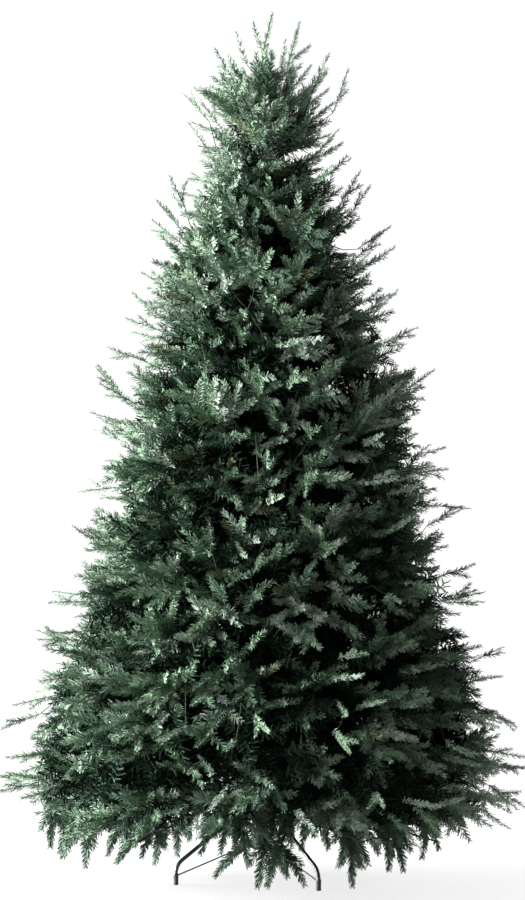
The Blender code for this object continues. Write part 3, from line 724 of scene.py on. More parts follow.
def tube_tree(name, materials):
    """A closed tube along every path, as thick as the path says."""
    tree, given, result = geometry_tree(name, Sides=("Int", 3))
    curve = tree.add("GeometryNodeMeshToCurve", {"Mesh": given["Geometry"]}).outputs[0]
    ring = ring_curve(tree, given["Sides"])
    tube = tree.add("GeometryNodeRealizeInstances", {"Geometry": swept(tree, curve, ring)}).outputs[0]
    tree.tree.links.new(dealt(tree, tube, materials), result)
    return tree


def wrapped_tree(name, material):
    """A closed tube along every path, with tape wound round it in turns that lap over one another."""
    tree, given, result = geometry_tree(
        name, Sides=("Int", 10), Pitch=("Float", 0.010), Ridge=("Float", 0.0008), Step=("Float", 0.0020)
    )
    curve = even_curve(tree, given["Geometry"], given["Step"])
    curve = stored(tree, curve, "run", tree.add("GeometryNodeSplineParameter").outputs["Length"])
    ring = ring_curve(tree, given["Sides"])
    ring = stored(tree, ring, "around", tree.add("GeometryNodeSplineParameter").outputs["Factor"])
    tube = swept(tree, curve, ring)
    turns = tree.math("DIVIDE", named(tree, "run"), given["Pitch"])
    lap = tree.math("FRACT", tree.math("ADD", turns, named(tree, "around")))
    tube = stored(tree, tube, "lap", lap)
    height = tree.math("MULTIPLY", tree.math("SUBTRACT", lap, 1.0), given["Ridge"])
    normal = tree.add("GeometryNodeInputNormal").outputs[0]
    shift = tree.add("ShaderNodeVectorMath", {0: normal, "Scale": height}, operation="SCALE").outputs[0]
    tube = tree.add("GeometryNodeSetPosition", {"Geometry": tube, "Offset": shift}).outputs[0]
    tube = tree.add("GeometryNodeRealizeInstances", {"Geometry": tube}).outputs[0]
    tube = tree.add("GeometryNodeSetMaterial", {"Geometry": tube, "Material": material}).outputs[0]
    tree.tree.links.new(tube, result)
    return tree


# ---------------------------------------------------------------- finishes


def plain(name, colour, roughness, shine=0.5):
    """A finish in one colour, for needles and twigs."""
    material = bpy.data.materials.new(name)
    material.use_nodes = True
    shader = material.node_tree.nodes["Principled BSDF"]
    shader.inputs["Base Color"].default_value = (*colour, 1)
    shader.inputs["Roughness"].default_value = roughness
    shader.inputs["Specular IOR Level"].default_value = shine
    return material


def patterned(name, low, high, scale, roughness, bump, metallic=0.0, coat=0.0, wear=None):
    """A finish that mottles between two colours and two roughnesses, with a fine grain in its surface.

    Wear is the colour of the spots where the finish is rubbed.
    """
    material = bpy.data.materials.new(name)
    material.use_nodes = True
    tree = Tree(material.node_tree)
    shader = material.node_tree.nodes["Principled BSDF"]
    place = tree.add("ShaderNodeTexCoord").outputs["Object"]
    mottle = {"Vector": place, "Scale": scale, "Detail": 6.0, "Roughness": 0.62}
    mottle = tree.add("ShaderNodeTexNoise", mottle).outputs["Fac"]
    tone = tree.add("ShaderNodeMix", {0: mottle, 6: (*low, 1), 7: (*high, 1)}, data_type="RGBA")
    colour = tone.outputs[2]
    if wear:
        spots = {"Vector": place, "Scale": scale * 0.23, "Detail": 9.0, "Roughness": 0.7}
        spots = tree.add("ShaderNodeTexNoise", spots).outputs["Fac"]
        spots = tree.add("ShaderNodeMapRange", {"Value": spots, "From Min": 0.60, "From Max": 0.72})
        worn = tree.add("ShaderNodeMix", {0: spots.outputs[0], 6: colour, 7: (*wear, 1)}, data_type="RGBA")
        colour = worn.outputs[2]
    tree.tree.links.new(colour, shader.inputs["Base Color"])
    least, most = roughness
    gloss = {"Value": mottle, "From Min": 0.3, "From Max": 0.7, "To Min": least, "To Max": most}
    tree.tree.links.new(tree.add("ShaderNodeMapRange", gloss).outputs[0], shader.inputs["Roughness"])
    grain = tree.add("ShaderNodeTexNoise", {"Vector": place, "Scale": scale * 7, "Detail": 3.0})
    raised = {"Height": grain.outputs["Fac"], "Strength": bump, "Distance": 0.0005}
    tree.tree.links.new(tree.add("ShaderNodeBump", raised).outputs[0], shader.inputs["Normal"])
    shader.inputs["Metallic"].default_value = metallic
    shader.inputs["Coat Weight"].default_value = coat
    shader.inputs["Coat Roughness"].default_value = 0.12
    return material


def tape_finish():
    """Brown tape with a darker line where each turn ends."""
    material = patterned("wound_tape", (0.030, 0.034, 0.018), (0.105, 0.085, 0.048), 160, (0.55, 0.85), 0.5)
    tree = Tree(material.node_tree)
    shader = material.node_tree.nodes["Principled BSDF"]
    colour = shader.inputs["Base Color"].links[0].from_socket
    lap = tree.add("ShaderNodeAttribute", attribute_name="lap").outputs["Fac"]
    edge = {"Value": lap, "From Min": 0.0, "From Max": 0.22, "To Min": 0.45, "To Max": 1.0}
    edge = tree.add("ShaderNodeMapRange", edge).outputs[0]
    dark = tree.add("ShaderNodeMix", {0: edge, 6: (0.012, 0.012, 0.008, 1), 7: colour}, data_type="RGBA")
    tree.tree.links.new(dark.outputs[2], shader.inputs["Base Color"])
    return material


NEEDLE_ROUGHNESS = 0.62
NEEDLE_TINTS = (  # from darkest to palest, and then a yellowish one; the darkest are painted shade for the inside of the crown
    (0.006, 0.011, 0.007),
    (0.020, 0.038, 0.024),
    (0.052, 0.088, 0.058),
    (0.086, 0.138, 0.088),
    (0.116, 0.168, 0.117),
    (0.156, 0.202, 0.159),
    (0.072, 0.092, 0.048),
)
# the palest tint: partly the needles' silvery colour, partly painted light on lit tips
SILVERY_LIT = 5
YELLOWISH = 6
YELLOWISH_SHARE = 0.05  # of a sprig's side shoots
NEEDLE_SHINE = 0.035  # from each tint to the next
MID_WEIGHTS = (0, 0, 4, 8, 3, 0)
# shoots hanging under the skirt get darker tints: painted shade
UNDER_SHADE_WEIGHTS = (0, 1, 6, 4, 0, 0)
# filler is dealt the darkest tints: painted shade behind the outer shoots
DEEP_SHADE_WEIGHTS = (9, 1, 0, 0, 0, 0)
# a darker tint for the shoots that hang over the stand: painted shade
DROOP_SHADE_TINT = 2
# near-black, far darker than the tape on the boughs: painted shade on the twigs and limbs inside the crown
SHADED_TWIG_TINTS = ((0.011, 0.016, 0.009), (0.007, 0.010, 0.006))
TWIG_ROUGHNESS = 0.85
TWIG_SHINE = 0.06

needle_finishes = []
for i, tint in enumerate(NEEDLE_TINTS):
    needle_finishes.append(plain(f"needle_tint_{i + 1}", tint, NEEDLE_ROUGHNESS, NEEDLE_SHINE * i))
twig_finishes = []
for i, tint in enumerate(SHADED_TWIG_TINTS):
    twig_finishes.append(plain(f"twig_shade_tint_{i + 1}", tint, TWIG_ROUGHNESS, TWIG_SHINE))
tape = tape_finish()
black_paint = patterned(
    "black_paint",
    (0.004, 0.0045, 0.005),
    (0.010, 0.011, 0.012),
    scale=60,
    roughness=(0.24, 0.40),
    bump=0.10,
    coat=0.15,
    wear=(0.035, 0.035, 0.034),
)
pole_paint = patterned(
    "pole_paint",
    (0.010, 0.020, 0.013),
    (0.022, 0.038, 0.026),
    scale=45,
    roughness=(0.32, 0.52),
    bump=0.12,
    coat=0.3,
    wear=(0.060, 0.062, 0.055),
)
bright_steel = patterned(
    "zinc_plate",
    (0.30, 0.30, 0.29),
    (0.46, 0.46, 0.45),
    scale=220,
    roughness=(0.28, 0.50),
    bump=0.15,
    metallic=1.0,
)
black_rubber = patterned(
    "moulded_rubber",
    (0.009, 0.009, 0.009),
    (0.024, 0.023, 0.022),
    scale=90,
    roughness=(0.62, 0.85),
    bump=0.35,
)

# ---------------------------------------------------------------- foliage


def needle_shape(name, length, root_width, tip_width):
    """One flat needle, with a slight fold from corner to corner, from the origin up to its tip."""
    root, tip = root_width / 2, tip_width / 2
    vertices = [(-root, 0, 0), (root, NEEDLE_FOLD, 0), (tip, 0, length), (-tip, NEEDLE_FOLD, length)]
    mesh = bpy.data.meshes.new(name)
    mesh.from_pydata(vertices, [], [(0, 1, 2), (0, 2, 3)])
    obj = bpy.data.objects.new(name, mesh)
    bpy.context.scene.collection.objects.link(obj)
    return obj


def curved(root, tip, bend):
    """Four points from root to tip, bowed by bend at the middle."""
    return [root.lerp(tip, t) + bend * (4 * t * (1 - t)) for t in (0, 1 / 3, 2 / 3, 1)]


def across_and_up(direction, roll=0.0):
    """Two directions square to one another and to a third, turned about it by roll."""
    side = direction.cross(Vector((0, 0, 1)))
    side = side.normalized() if side.length > 1e-3 else Vector((1, 0, 0))
    side = Matrix.Rotation(roll, 3, direction) @ side
    return side, side.cross(direction)


def tint_near(tint, step):
    return max(0, min(SILVERY_LIT, tint + step))


def sprig(tip, direction, length, tint, rng):
    """One fan of a leading shoot and side shoots by turns.

    Each is (points, tint, face), the leading shoot first.
    """
    side, up = across_and_up(direction, math.radians(rng.uniform(-SPRIG_ROLL, SPRIG_ROLL)))
    root = tip - direction * length
    bow = up * rng.uniform(*SPRIG_BOW)
    shoots = [(curved(root, tip, bow), tint, up)]
    sign = rng.choice((-1, 1))
    for share, reach_out in SHOOTS:
        sign = -sign
        share += rng.uniform(-SHOOT_SHIFT, SHOOT_SHIFT)
        spring = root.lerp(tip, share) + bow * (4 * share * (1 - share))
        angle = math.radians(rng.uniform(*SHOOT_ANGLES))
        out = direction * math.cos(angle) + side * (sign * math.sin(angle))
        out += up * rng.uniform(-SHOOT_RISE, SHOOT_RISE)
        end = spring + out.normalized() * reach_out * rng.uniform(*SHOOT_SIZES)
        shade = YELLOWISH if rng.random() < YELLOWISH_SHARE else tint_near(tint, rng.choice((-1, 0, 0, 1)))
        shoots.append((curved(spring, end, direction * SHOOT_BOW), shade, up))
    return shoots


def whorl(tip, direction, length, reach_out, tint, rng):
    """A leading shoot with side shoots all round it, for the inside of the crown."""
    side, up = across_and_up(direction, rng.uniform(0, math.tau))
    root = tip - direction * length
    shoots = [(curved(root, tip, up * WHORL_BOWS[0]), tint, up)]
    for k in range(WHORL_SHOOTS):
        spring = root.lerp(tip, WHORL_PLACES[0] + WHORL_PLACES[1] * k)
        angle = math.tau * k * WHORL_TURN
        sideways = (side * math.cos(angle) + up * math.sin(angle)) * rng.uniform(*WHORL_OUT)
        out = direction * WHORL_FORWARD + sideways
        end = spring + out.normalized() * reach_out * rng.uniform(*WHORL_SIZES)
        shoots.append((curved(spring, end, direction * WHORL_BOWS[1]), tint, up))
    return shoots


def pick(weights, rng):
    return rng.choices(range(len(weights)), weights)[0]


def nearest_on(limbs, point):
    """The place on the limbs that a twig to this point springs from: near it, and further in than it."""
    best = None
    for limb in limbs:
        for a, b in zip(limb, limb[1:]):
            for t in (0.0, 0.5, 1.0):
                place = a.lerp(b, t)
                short = max(0.0, place.xy.length - point.xy.length + TWIG_INWARD)
                cost = (place - point).length + TWIG_COST * short
                if best is None or cost < best[0]:
                    best = (cost, place)
    return best[1]


def scatter(i, shift):
    """The i-th place of an even spread: (across, level)."""
    across = 2 * ((i * EVEN_STEPS[0] + EVEN_SHIFTS[0] * shift) % 1.0) - 1
    level = (i * EVEN_STEPS[1] + EVEN_SHIFTS[1] * shift + 0.5) % 1.0
    return across, EVEN_LEVELS[0] + EVEN_LEVELS[1] * level


def arc_twig(start, end, sag):
    """A twig that sags at its middle by a share of its length."""
    return [start, start.lerp(end, 0.5) + Vector((0, 0, -sag * (end - start).length)), end]


class Crown:
    """Where shoots already are, so that the next one can grow where they are sparse."""

    def __init__(self):
        self.cells = {}

    def add(self, point):
        self.cells.setdefault(tuple(int(c // CROWDING_REACH) for c in point), []).append(point)

    def crowding(self, point):
        near = [range(int(c // CROWDING_REACH) - 1, int(c // CROWDING_REACH) + 2) for c in point]
        total = 0.0
        for cell in itertools.product(*near):
            for other in self.cells.get(cell, ()):
                total += max(0.0, 1 - (other - point).length / CROWDING_REACH)
        return total


class Mass:
    """What grows in one room."""

    def __init__(self, room, seed, crown):
        self.room = room
        self.seed = seed
        self.crown = crown
        self.rng = random.Random(seed)
        self.limbs = room.limbs()
        self.shoots, self.slim, self.filler, self.core, self.twigs = [], [], [], [], []

    def grow_inside(self):
        """Grows all that isn't placed by how sparse the crown is. Each kind has a spread of its own."""
        room, seed, growth = self.room, self.seed, self.room.growth
        for i in range(growth.roof):
            across = scatter(i, seed + 4)[0]
            tip, azimuth = room.place(across, 1.0, self.rng.uniform(*ROOF_DEPTH))
            self.grow_sprig(tip, self.heading_at(azimuth, 1.0, ROOF_STRAY))
        for i in range(growth.hanging):
            self.grow_hanging(scatter(i, seed + 5)[0], self.rng.random())
        forward, sway, down = DROOP_WAY
        for i, (x, height, lean) in enumerate(DROOPS):
            further_in = DROOP_SCATTER * (0.5 + 0.5 * math.sin(GOLDEN_ANGLE * i))
            tip = Vector((x, DROOP_DEPTH + further_in, height))
            way = Vector((-lean, forward + sway * math.sin(GOLDEN_ANGLE * i + 1), down)).normalized()
            for degrees in DROOP_TURNS:
                place = Matrix.Rotation(math.radians(degrees), 3, "Z")
                if room.owns(place @ tip):
                    self.grow_droop(place @ tip, place @ way)
        for i in range(growth.deep):
            self.grow_filler(*scatter(i, seed + 7), self.rng.uniform(*FILLER_DEPTH))
        for i in range(growth.core):
            self.grow_core(*scatter(i, seed + 8), (i + 0.5) / growth.core)

    def join(self, root):
        """A twig from the limbs to a sprig's root."""
        self.twigs.append((arc_twig(nearest_on(self.limbs, root), root, TWIG_SAG), self.rng.randrange(2)))

    def fit(self, tip, direction, tint, root):
        """Grows one sprig, moved towards a root until all its ends keep to the room. Gives its own root."""
        for attempt in range(SPRIG_TRIES):
            size = SPRIG * self.rng.uniform(*SPRIG_SIZES)
            fan = sprig(tip.lerp(root, SPRIG_STEP * attempt), direction, size, tint, self.rng)
            if all(self.room.holds(points[-1], OVERHANG) for points, _, _ in fan):
                self.shoots += fan
                for points, _, _ in fan:
                    self.crown.add(points[-1])
                    self.crown.add(points[1])
                return fan[0][0][0]
        return None

    def heading_at(self, azimuth, level, stray):
        """The direction of a shoot at an azimuth and level of the room."""
        lift = self.room.lift(level) + math.radians(self.rng.uniform(-stray, stray))
        return heading(azimuth + math.radians(self.rng.uniform(-SIDE_STRAY, SIDE_STRAY)), lift)

    def open_place(self, shallow, deep):
        """A shoot's tip and direction, at the least crowded of a few places."""
        best = None
        for _ in range(TRIES):
            level = self.rng.uniform(*TRY_LEVELS)
            depth = self.room.growth.inset + shallow + (deep - shallow) * self.rng.random() ** 0.5
            tip, azimuth = self.room.place(self.rng.uniform(-1, 1), level, depth)
            direction = self.heading_at(azimuth, level, STRAY)
            crowding = self.crown.crowding(tip - direction * CROWDING_BACK)
            if best is None or crowding < best[0]:
                best = (crowding, tip, direction)
        return best[1:]

    def grow_paw(self):
        """A bunch of sprigs that splay from one root."""
        rng = self.rng
        tip, direction = self.open_place(0.0, self.room.growth.sink)
        root = tip - direction * PAW
        side, up = across_and_up(direction)
        self.join(root)
        tint = pick(self.room.tip_weights, rng)
        first = rng.uniform(0, math.tau)
        for k in range(PAW_SPRIGS):
            angle = first + math.tau * k / (PAW_SPRIGS - 1) + rng.uniform(-PAW_JITTER, PAW_JITTER)
            wide = rng.uniform(*PAW_WIDTH) if k else 0.0
            end = tip + (side * math.cos(angle) + up * math.sin(angle)) * wide
            end -= direction * wide * rng.uniform(*PAW_BACK)
            way = (end - root.lerp(tip, PAW_AIM)).normalized()
            base = self.fit(end, way, tint_near(tint, rng.choice((-1, 0, 1))), root)
            if base:
                self.twigs.append((arc_twig(root, base, PAW_SAG), rng.randrange(2)))

    def grow_sprig(self, tip, direction, weights=MID_WEIGHTS):
        base = self.fit(tip, direction, pick(weights, self.rng), tip - direction * PAW)
        if base:
            self.join(base)

    def grow_spike(self):
        """A slim shoot that stands out of the crown on its own, with a short side shoot."""
        rng = self.rng
        tip, direction = self.open_place(-SPIKE_OUT[0], -SPIKE_OUT[1])
        if not self.room.holds(tip, OVERHANG, -SPIKE_OUT[1]):
            return
        side, up = across_and_up(direction, math.radians(rng.uniform(-SPIKE_ROLL, SPIKE_ROLL)))
        root = tip - direction * rng.uniform(*SPIKE)
        tint = rng.choice(SPIKE_SHADES)
        self.slim.append((curved(root, tip, up * rng.uniform(-SPIKE_BOW, SPIKE_BOW)), tint, up))
        spring = root.lerp(tip, rng.uniform(*SPIKE_SIDE_PLACES))
        out = direction + side * (rng.choice((-1, 1)) * rng.uniform(*SPIKE_SIDE_OUT))
        end = spring + out.normalized() * SPIKE_SIDE
        self.slim.append((curved(spring, end, direction * SIDE_BOW), tint, up))
        self.crown.add(root.lerp(tip, SPIKE_CROWD))
        self.join(root)

    def grow_hanging(self, across, share):
        """A sprig that hangs from the skirt's underside, in darker tints as painted shade."""
        tip, azimuth = self.room.hanging_place(across, share)
        lift = math.radians(self.rng.uniform(*HANGING_FALL) + HANGING_LESS * share)
        way = heading(azimuth + math.radians(self.rng.uniform(-HANGING_STRAY, HANGING_STRAY)), lift)
        self.grow_sprig(tip, way, UNDER_SHADE_WEIGHTS)

    def grow_droop(self, tip, direction):
        """One full shoot that hangs over the stand, with a short one at each side of its root, all in a
        darker tint as painted shade.
        """
        side, up = across_and_up(direction)
        root = tip - direction * DROOP
        self.shoots += [(curved(root, tip, up * DROOP_BOW), DROOP_SHADE_TINT, face) for face in (up, side)]
        for sign in (-1, 1):
            spring = root + direction * self.rng.uniform(0.0, DROOP_SIDE_ROOT)
            out = direction + side * (sign * self.rng.uniform(*DROOP_SIDE_OUT))
            end = spring + out.normalized() * DROOP_SIDE
            self.shoots.append((curved(spring, end, up * SIDE_BOW), DROOP_SHADE_TINT, up))
        self.join(root)

    def grow_filler(self, across, level, depth):
        """A whorl behind the shoots, in the darkest tints as painted shade."""
        level = self.room.filler_level(level)
        tip, azimuth = self.room.place(across, level, depth)
        direction = self.heading_at(azimuth, level, FILLER_STRAY)
        fan = whorl(tip, direction, *self.room.filler_size, pick(DEEP_SHADE_WEIGHTS, self.rng), self.rng)
        if all(self.room.holds(points[-1], DEEP_OVERHANG, FILLER_MARGIN) for points, _, _ in fan):
            self.filler += fan
            self.join(fan[0][0][0])

    def grow_core(self, across, level, share):
        """A coarse whorl inside the crown, so that no light comes through, in the darkest tint as painted
        shade.
        """
        tip, azimuth = self.room.core_place(across, level, share)
        # tint 0, the darkest, is painted shade
        fan = whorl(tip, self.heading_at(azimuth, level, CORE_STRAY), *CORE_WHORL, 0, self.rng)
        ends = [points[-1] for points, _, _ in fan]
        low = any(end.z < along(CORE_FLOOR, end.xy.length) for end in ends)
        if not low and all(self.room.holds(end, DEEP_OVERHANG, CORE_MARGIN) for end in ends):
            self.core += fan
            self.join(fan[0][0][0])


def add_leaders(mass):
    """The uppermost shoots of the tree."""
    foot, head = mass.limbs[0][0], mass.limbs[0][-1]
    for tip, root in LEADERS:
        tip, root = Vector(tip) - Vector((0, 0, LEADER_DROP)), Vector(root)
        face = (tip - root).cross(Vector((1, 0, 0))).normalized()
        mass.slim.append((curved(root, tip, Vector((0, 0, LEADER_BOW))), mass.rng.choice(SPIKE_SHADES), face))
        share = (root.z - LEADER_SPRING - foot.z) / (head.z - foot.z)
        mass.twigs.append((arc_twig(foot.lerp(head, min(1.0, max(0.0, share))), root, 0.0), 0))


def grow_masses():
    """All masses, each with its tier's letter and its own label.

    Paws and the inside grow first, then sprigs where the crown is sparse, and spikes last.
    """
    crown = Crown()
    masses = []
    for tier, kind in enumerate(TIERS):
        for number in range(kind.masses):
            mass = Mass(Room(tier, number), SEED + SEED_STEP * tier + number, crown)
            masses.append((kind.letter, f"{kind.letter}{number + 1}", mass))
    top = Mass(TopRoom(), SEED + SEED_STEP * len(TIERS), crown)
    masses.append(("top", "top", top))
    add_leaders(top)
    for _, _, mass in masses:
        for _ in range(mass.room.growth.paws):
            mass.grow_paw()
        mass.grow_inside()
    for number in range(max(mass.room.growth.sprigs for _, _, mass in masses)):
        for _, _, mass in masses:
            if number < mass.room.growth.sprigs:
                mass.grow_sprig(*mass.open_place(*SPRIG_DEPTH))
    for _, _, mass in masses:
        for _ in range(mass.room.growth.spikes):
            mass.grow_spike()
    return masses


def needled(shoots, size=1):
    """Paths for needles of a size."""
    return [(points, tint, size, size, face) for points, tint, face in shoots]


def build_inside(letter, parts, needles, tubes, shapes):
    """What a tier's masses share: needles in the darkest tints, as painted shade, behind the others and at
    its core, twigs, and limbs.
    """
    for kind, spacing in (("filler", FILLER_SPACING), ("core", CORE_SPACING)):
        if not parts[kind]:
            continue
        inner = grown(
            f"{kind}_{letter}",
            paths_mesh(parts[kind]),
            needles,
            Needle=shapes[kind],
            Spacing=spacing,
            Root_Spread=INNER_SPREAD[0],
            Tip_Spread=INNER_SPREAD[1],
            Turn=GOLDEN_ANGLE,
            Turn_Jitter=INNER_JITTER,
            Seed=INNER_SEED,
        )
        settle(inner, "needles")
    settle(grown(f"twigs_{letter}", paths_mesh(parts["twigs"]), tubes, Sides=3), "wrapped_wire")
    settle(grown(f"limbs_{letter}", paths_mesh(parts["limbs"]), tubes, Sides=6), "wrapped_wire")


def build_foliage():
    """Each mass of needles replaces its solid. What its tier shares is built after all the masses."""
    needle = needle_shape("needle", *NEEDLE)
    shapes = {
        "filler": needle_shape("filler_needle", *FILLER),
        "core": needle_shape("core_needle", *CORE_NEEDLE),
    }
    needles = needle_tree(needle_finishes)
    tubes = tube_tree("twig_tubes", twig_finishes)
    shared = {}
    for letter, label, mass in grow_masses():
        paths = paths_mesh(needled(mass.shoots) + needled(mass.slim, SLIM))
        obj = grown(f"needles_{label}", paths, needles, Needle=needle, Seed=mass.seed)
        settle(obj, "needles", f"foliage_{label}")
        parts = shared.setdefault(letter, {"filler": [], "core": [], "twigs": [], "limbs": []})
        parts["filler"] += needled(mass.filler)
        parts["core"] += needled(mass.core)
        if letter != "top":
            # needles along the limbs take tint 0, the darkest, as painted shade
            parts["core"] += [(limb[:-1], 0, 1, 1, NO_FACE) for limb in mass.limbs]
        for points, _, _ in mass.shoots + mass.slim:
            parts["twigs"].append((points[::3], 0, TWIG_THICK, TWIG_TAPER * TWIG_THICK, NO_FACE))
        for points, tint in mass.twigs:
            parts["twigs"].append((points, tint, TWIG_ROOT * TWIG_THICK, TWIG_THICK, NO_FACE))
        parts["limbs"] += [(limb, 0, BOUGH_TIP_RADIUS, LIMB_TIP_RADIUS, NO_FACE) for limb in mass.limbs]
    for letter, parts in shared.items():
        build_inside(letter, parts, needles, tubes, shapes)
    for shape in (needle, *shapes.values()):
        bpy.data.objects.remove(shape)


# ---------------------------------------------------------------- making and placing pieces


def smooth(mesh):
    """Smooth faces, with sharp edges kept."""
    mesh.shade_smooth()
    mesh.set_sharp_from_angle(angle=SHARP)


def link_mesh(name, bm, finish):
    """A new object of a finished bmesh."""
    bmesh.ops.remove_doubles(bm, verts=bm.verts, dist=1e-6)
    bmesh.ops.recalc_face_normals(bm, faces=bm.faces)
    mesh = bpy.data.meshes.new(name)
    bm.to_mesh(mesh)
    bm.free()
    mesh.materials.append(finish)
    smooth(mesh)
    obj = bpy.data.objects.new(name, mesh)
    bpy.context.scene.collection.objects.link(obj)
    return obj


def settle(obj, slot, *nodes):
    """Puts a finished piece on the tree, in place of its solids."""
    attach(obj, "root")
    if nodes:
        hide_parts(*nodes)


def turn(bm, profile, segments, matrix=None):
    """Adds a solid of revolution about Z, moved by a matrix. The profile is (radius, height) pairs."""
    before = set(bm.verts)
    ring = [bm.verts.new((radius, 0, height)) for radius, height in profile]
    edges = [bm.edges.new(pair) for pair in zip(ring, ring[1:])]
    bmesh.ops.spin(
        bm, geom=ring + edges, cent=(0, 0, 0), axis=(0, 0, 1), angle=math.tau, steps=segments, use_merge=True
    )
    if matrix:
        bmesh.ops.transform(bm, matrix=matrix, verts=[v for v in bm.verts if v not in before])


def softened(points, radius):
    """A profile with each inner corner cut by three points of an arc."""
    result = [points[0]]
    for before, corner, after in zip(points, points[1:], points[2:]):
        c, a, b = Vector(corner), Vector(before), Vector(after)
        cut = min(radius, 0.45 * (a - c).length, 0.45 * (b - c).length)
        start, end = c + (a - c).normalized() * cut, c + (b - c).normalized() * cut
        middle = (start + end + 2 * c) / 4
        result += [tuple(start), tuple(middle), tuple(end)]
    return result + [points[-1]]


# ---------------------------------------------------------------- pole and boughs


def build_pole():
    """The pole: three tube sections with sleeves at their joints, and a ring for each tier's boughs."""
    profile = [(0.0, POLE_FOOT), (POLE_SECTIONS[0][1], POLE_FOOT)]
    collars = []
    for kind in TIERS:
        low = kind.ring - RING_HEIGHT / 2
        collars.append((low, low + RING_HEIGHT, RING_RADIUS))
    for top, radius in POLE_SECTIONS[:-1]:
        collars.append((top - SLEEVE_HEIGHT / 2, top + SLEEVE_HEIGHT / 2, radius + SLEEVE_WALL))
    for low, high, radius in sorted(collars):
        below = next(r for top, r in POLE_SECTIONS if low < top)
        above = next(r for top, r in POLE_SECTIONS if high < top)
        profile += [(below, low), (radius, low), (radius, high), (above, high)]
    top, radius = POLE_SECTIONS[-1]
    profile += [(radius, top), (0.0, top)]
    bm = bmesh.new()
    turn(bm, softened(profile, POLE_EDGE), WIDE_ROUND)
    settle(link_mesh("pole", bm, pole_paint), "painted_steel", "trunk")


def ring_face(azimuth):
    """How far a flat face of a ring is from the pole's axis."""
    step = math.tau / RING_SIDES
    return RING_RADIUS * math.cos(azimuth - step * round(azimuth / step))


def build_boughs():
    """Each bough is a wire wrapped in tape, from its ring on the pole to its mass."""
    wrap = wrapped_tree("wrapped_boughs", tape)
    for tier, kind in enumerate(TIERS):
        if kind.start < NO_BOUGH:
            continue
        for number in range(kind.masses):
            middle = math.radians(kind.turn) + math.tau * number / kind.masses
            root = polar(ring_face(middle) + CLEARANCE, middle, kind.ring)
            path = sagging(root, bough_tip(tier, middle), BOUGH_SAG, BOUGH_STEPS)
            name = f"bough_{kind.letter}{number + 1}"
            paths = paths_mesh([(path, 0, BOUGH_ROOT_RADIUS, BOUGH_TIP_RADIUS, NO_FACE)])
            settle(grown(f"wrapped_{name}", paths, wrap), "wrapped_wire", name)


# ---------------------------------------------------------------- stand


def leg_path():
    """A leg in its own upright plane, as (reach, height)."""
    angle_turned = math.pi / 2 - LEG_SLOPE
    tangent = LEG_BEND_RADIUS * math.tan(angle_turned / 2)
    centre = (FOOT_REACH - LEG_BEND_RADIUS, LEG_CORNER_HEIGHT - tangent)
    points = [(FOOT_REACH, FOOT_SOLE + CLEARANCE)]
    for i in range(LEG_BEND_STEPS + 1):
        angle = angle_turned * i / LEG_BEND_STEPS
        x = centre[0] + LEG_BEND_RADIUS * math.cos(angle)
        points.append((x, centre[1] + LEG_BEND_RADIUS * math.sin(angle)))
    run = FOOT_REACH - LEG_TOP_REACH
    points.append((LEG_TOP_REACH, LEG_CORNER_HEIGHT + run * math.tan(LEG_SLOPE)))
    return points


def build_hub():
    """The hub under the pole, with a pair of ears for each leg and for each brace."""
    inner = POLE_SECTIONS[0][1] + CLEARANCE
    outer = inner + HUB_WALL
    floor = HUB_BOTTOM + HUB_FLOOR
    profile = [
        (0, HUB_BOTTOM),
        (outer, HUB_BOTTOM),
        (outer, HUB_TOP),
        (inner, HUB_TOP),
        (inner, floor),
        (0, floor),
    ]
    bm = bmesh.new()
    turn(bm, softened(profile, HUB_EDGE), WIDE_ROUND)
    bolts = bmesh.new()
    leg_top = leg_path()[-1][1]
    for degrees in LEG_AZIMUTHS:
        place = Matrix.Rotation(math.radians(degrees), 4, "Z")
        for height, slot in ((leg_top, LEG_RADIUS + CLEARANCE), (BRACE_TOP[1], BRACE_RADIUS + CLEARANCE)):
            for sign in (-1, 1):
                add_ear(bm, place, height, slot, sign)
                if height == leg_top:
                    add_bolt(bolts, place, height, sign * (slot + EAR_THICKNESS), sign)
    settle(link_mesh("hub", bm, black_paint), "painted_steel", "stand_hub")
    settle(link_mesh("hub_bolts", bolts, bright_steel), "painted_steel")


def build_legs():
    """The three legs, with their feet and braces."""
    tubes = tube_tree("stand_tubes", [black_paint])
    for number, degrees in enumerate(LEG_AZIMUTHS, start=1):
        azimuth = math.radians(degrees)
        path = [polar(x, azimuth, z) for x, z in leg_path()]
        paths = paths_mesh([(path, 0, LEG_RADIUS, LEG_RADIUS, NO_FACE)])
        leg = grown(f"leg_{number}", paths, tubes, Sides=24)
        smooth(leg.data)
        settle(leg, "painted_steel", f"stand_leg_{number}")
        build_foot(number, azimuth)
        build_brace(number, azimuth)


def add_ear(bm, place, height, slot, sign):
    """One ear of the hub: a plate with a rounded outer end."""
    wall = POLE_SECTIONS[0][1] + HUB_WALL / 2
    radius = EAR_HEIGHT / 2
    outline = [(wall, height - radius), (EAR_REACH - radius, height - radius)]
    for i in range(1, EAR_STEPS):
        angle = -math.pi / 2 + math.pi * i / EAR_STEPS
        outline.append((EAR_REACH - radius + radius * math.cos(angle), height + radius * math.sin(angle)))
    outline += [(EAR_REACH - radius, height + radius), (wall, height + radius)]
    near, far = sign * slot, sign * (slot + EAR_THICKNESS)
    rings = [[bm.verts.new(place @ Vector((x, y, z))) for x, z in outline] for y in (near, far)]
    bm.faces.new(rings[0])
    bm.faces.new(list(reversed(rings[1])))
    for k in range(len(outline)):
        after = (k + 1) % len(outline)
        bm.faces.new((rings[0][k], rings[1][k], rings[1][after], rings[0][after]))


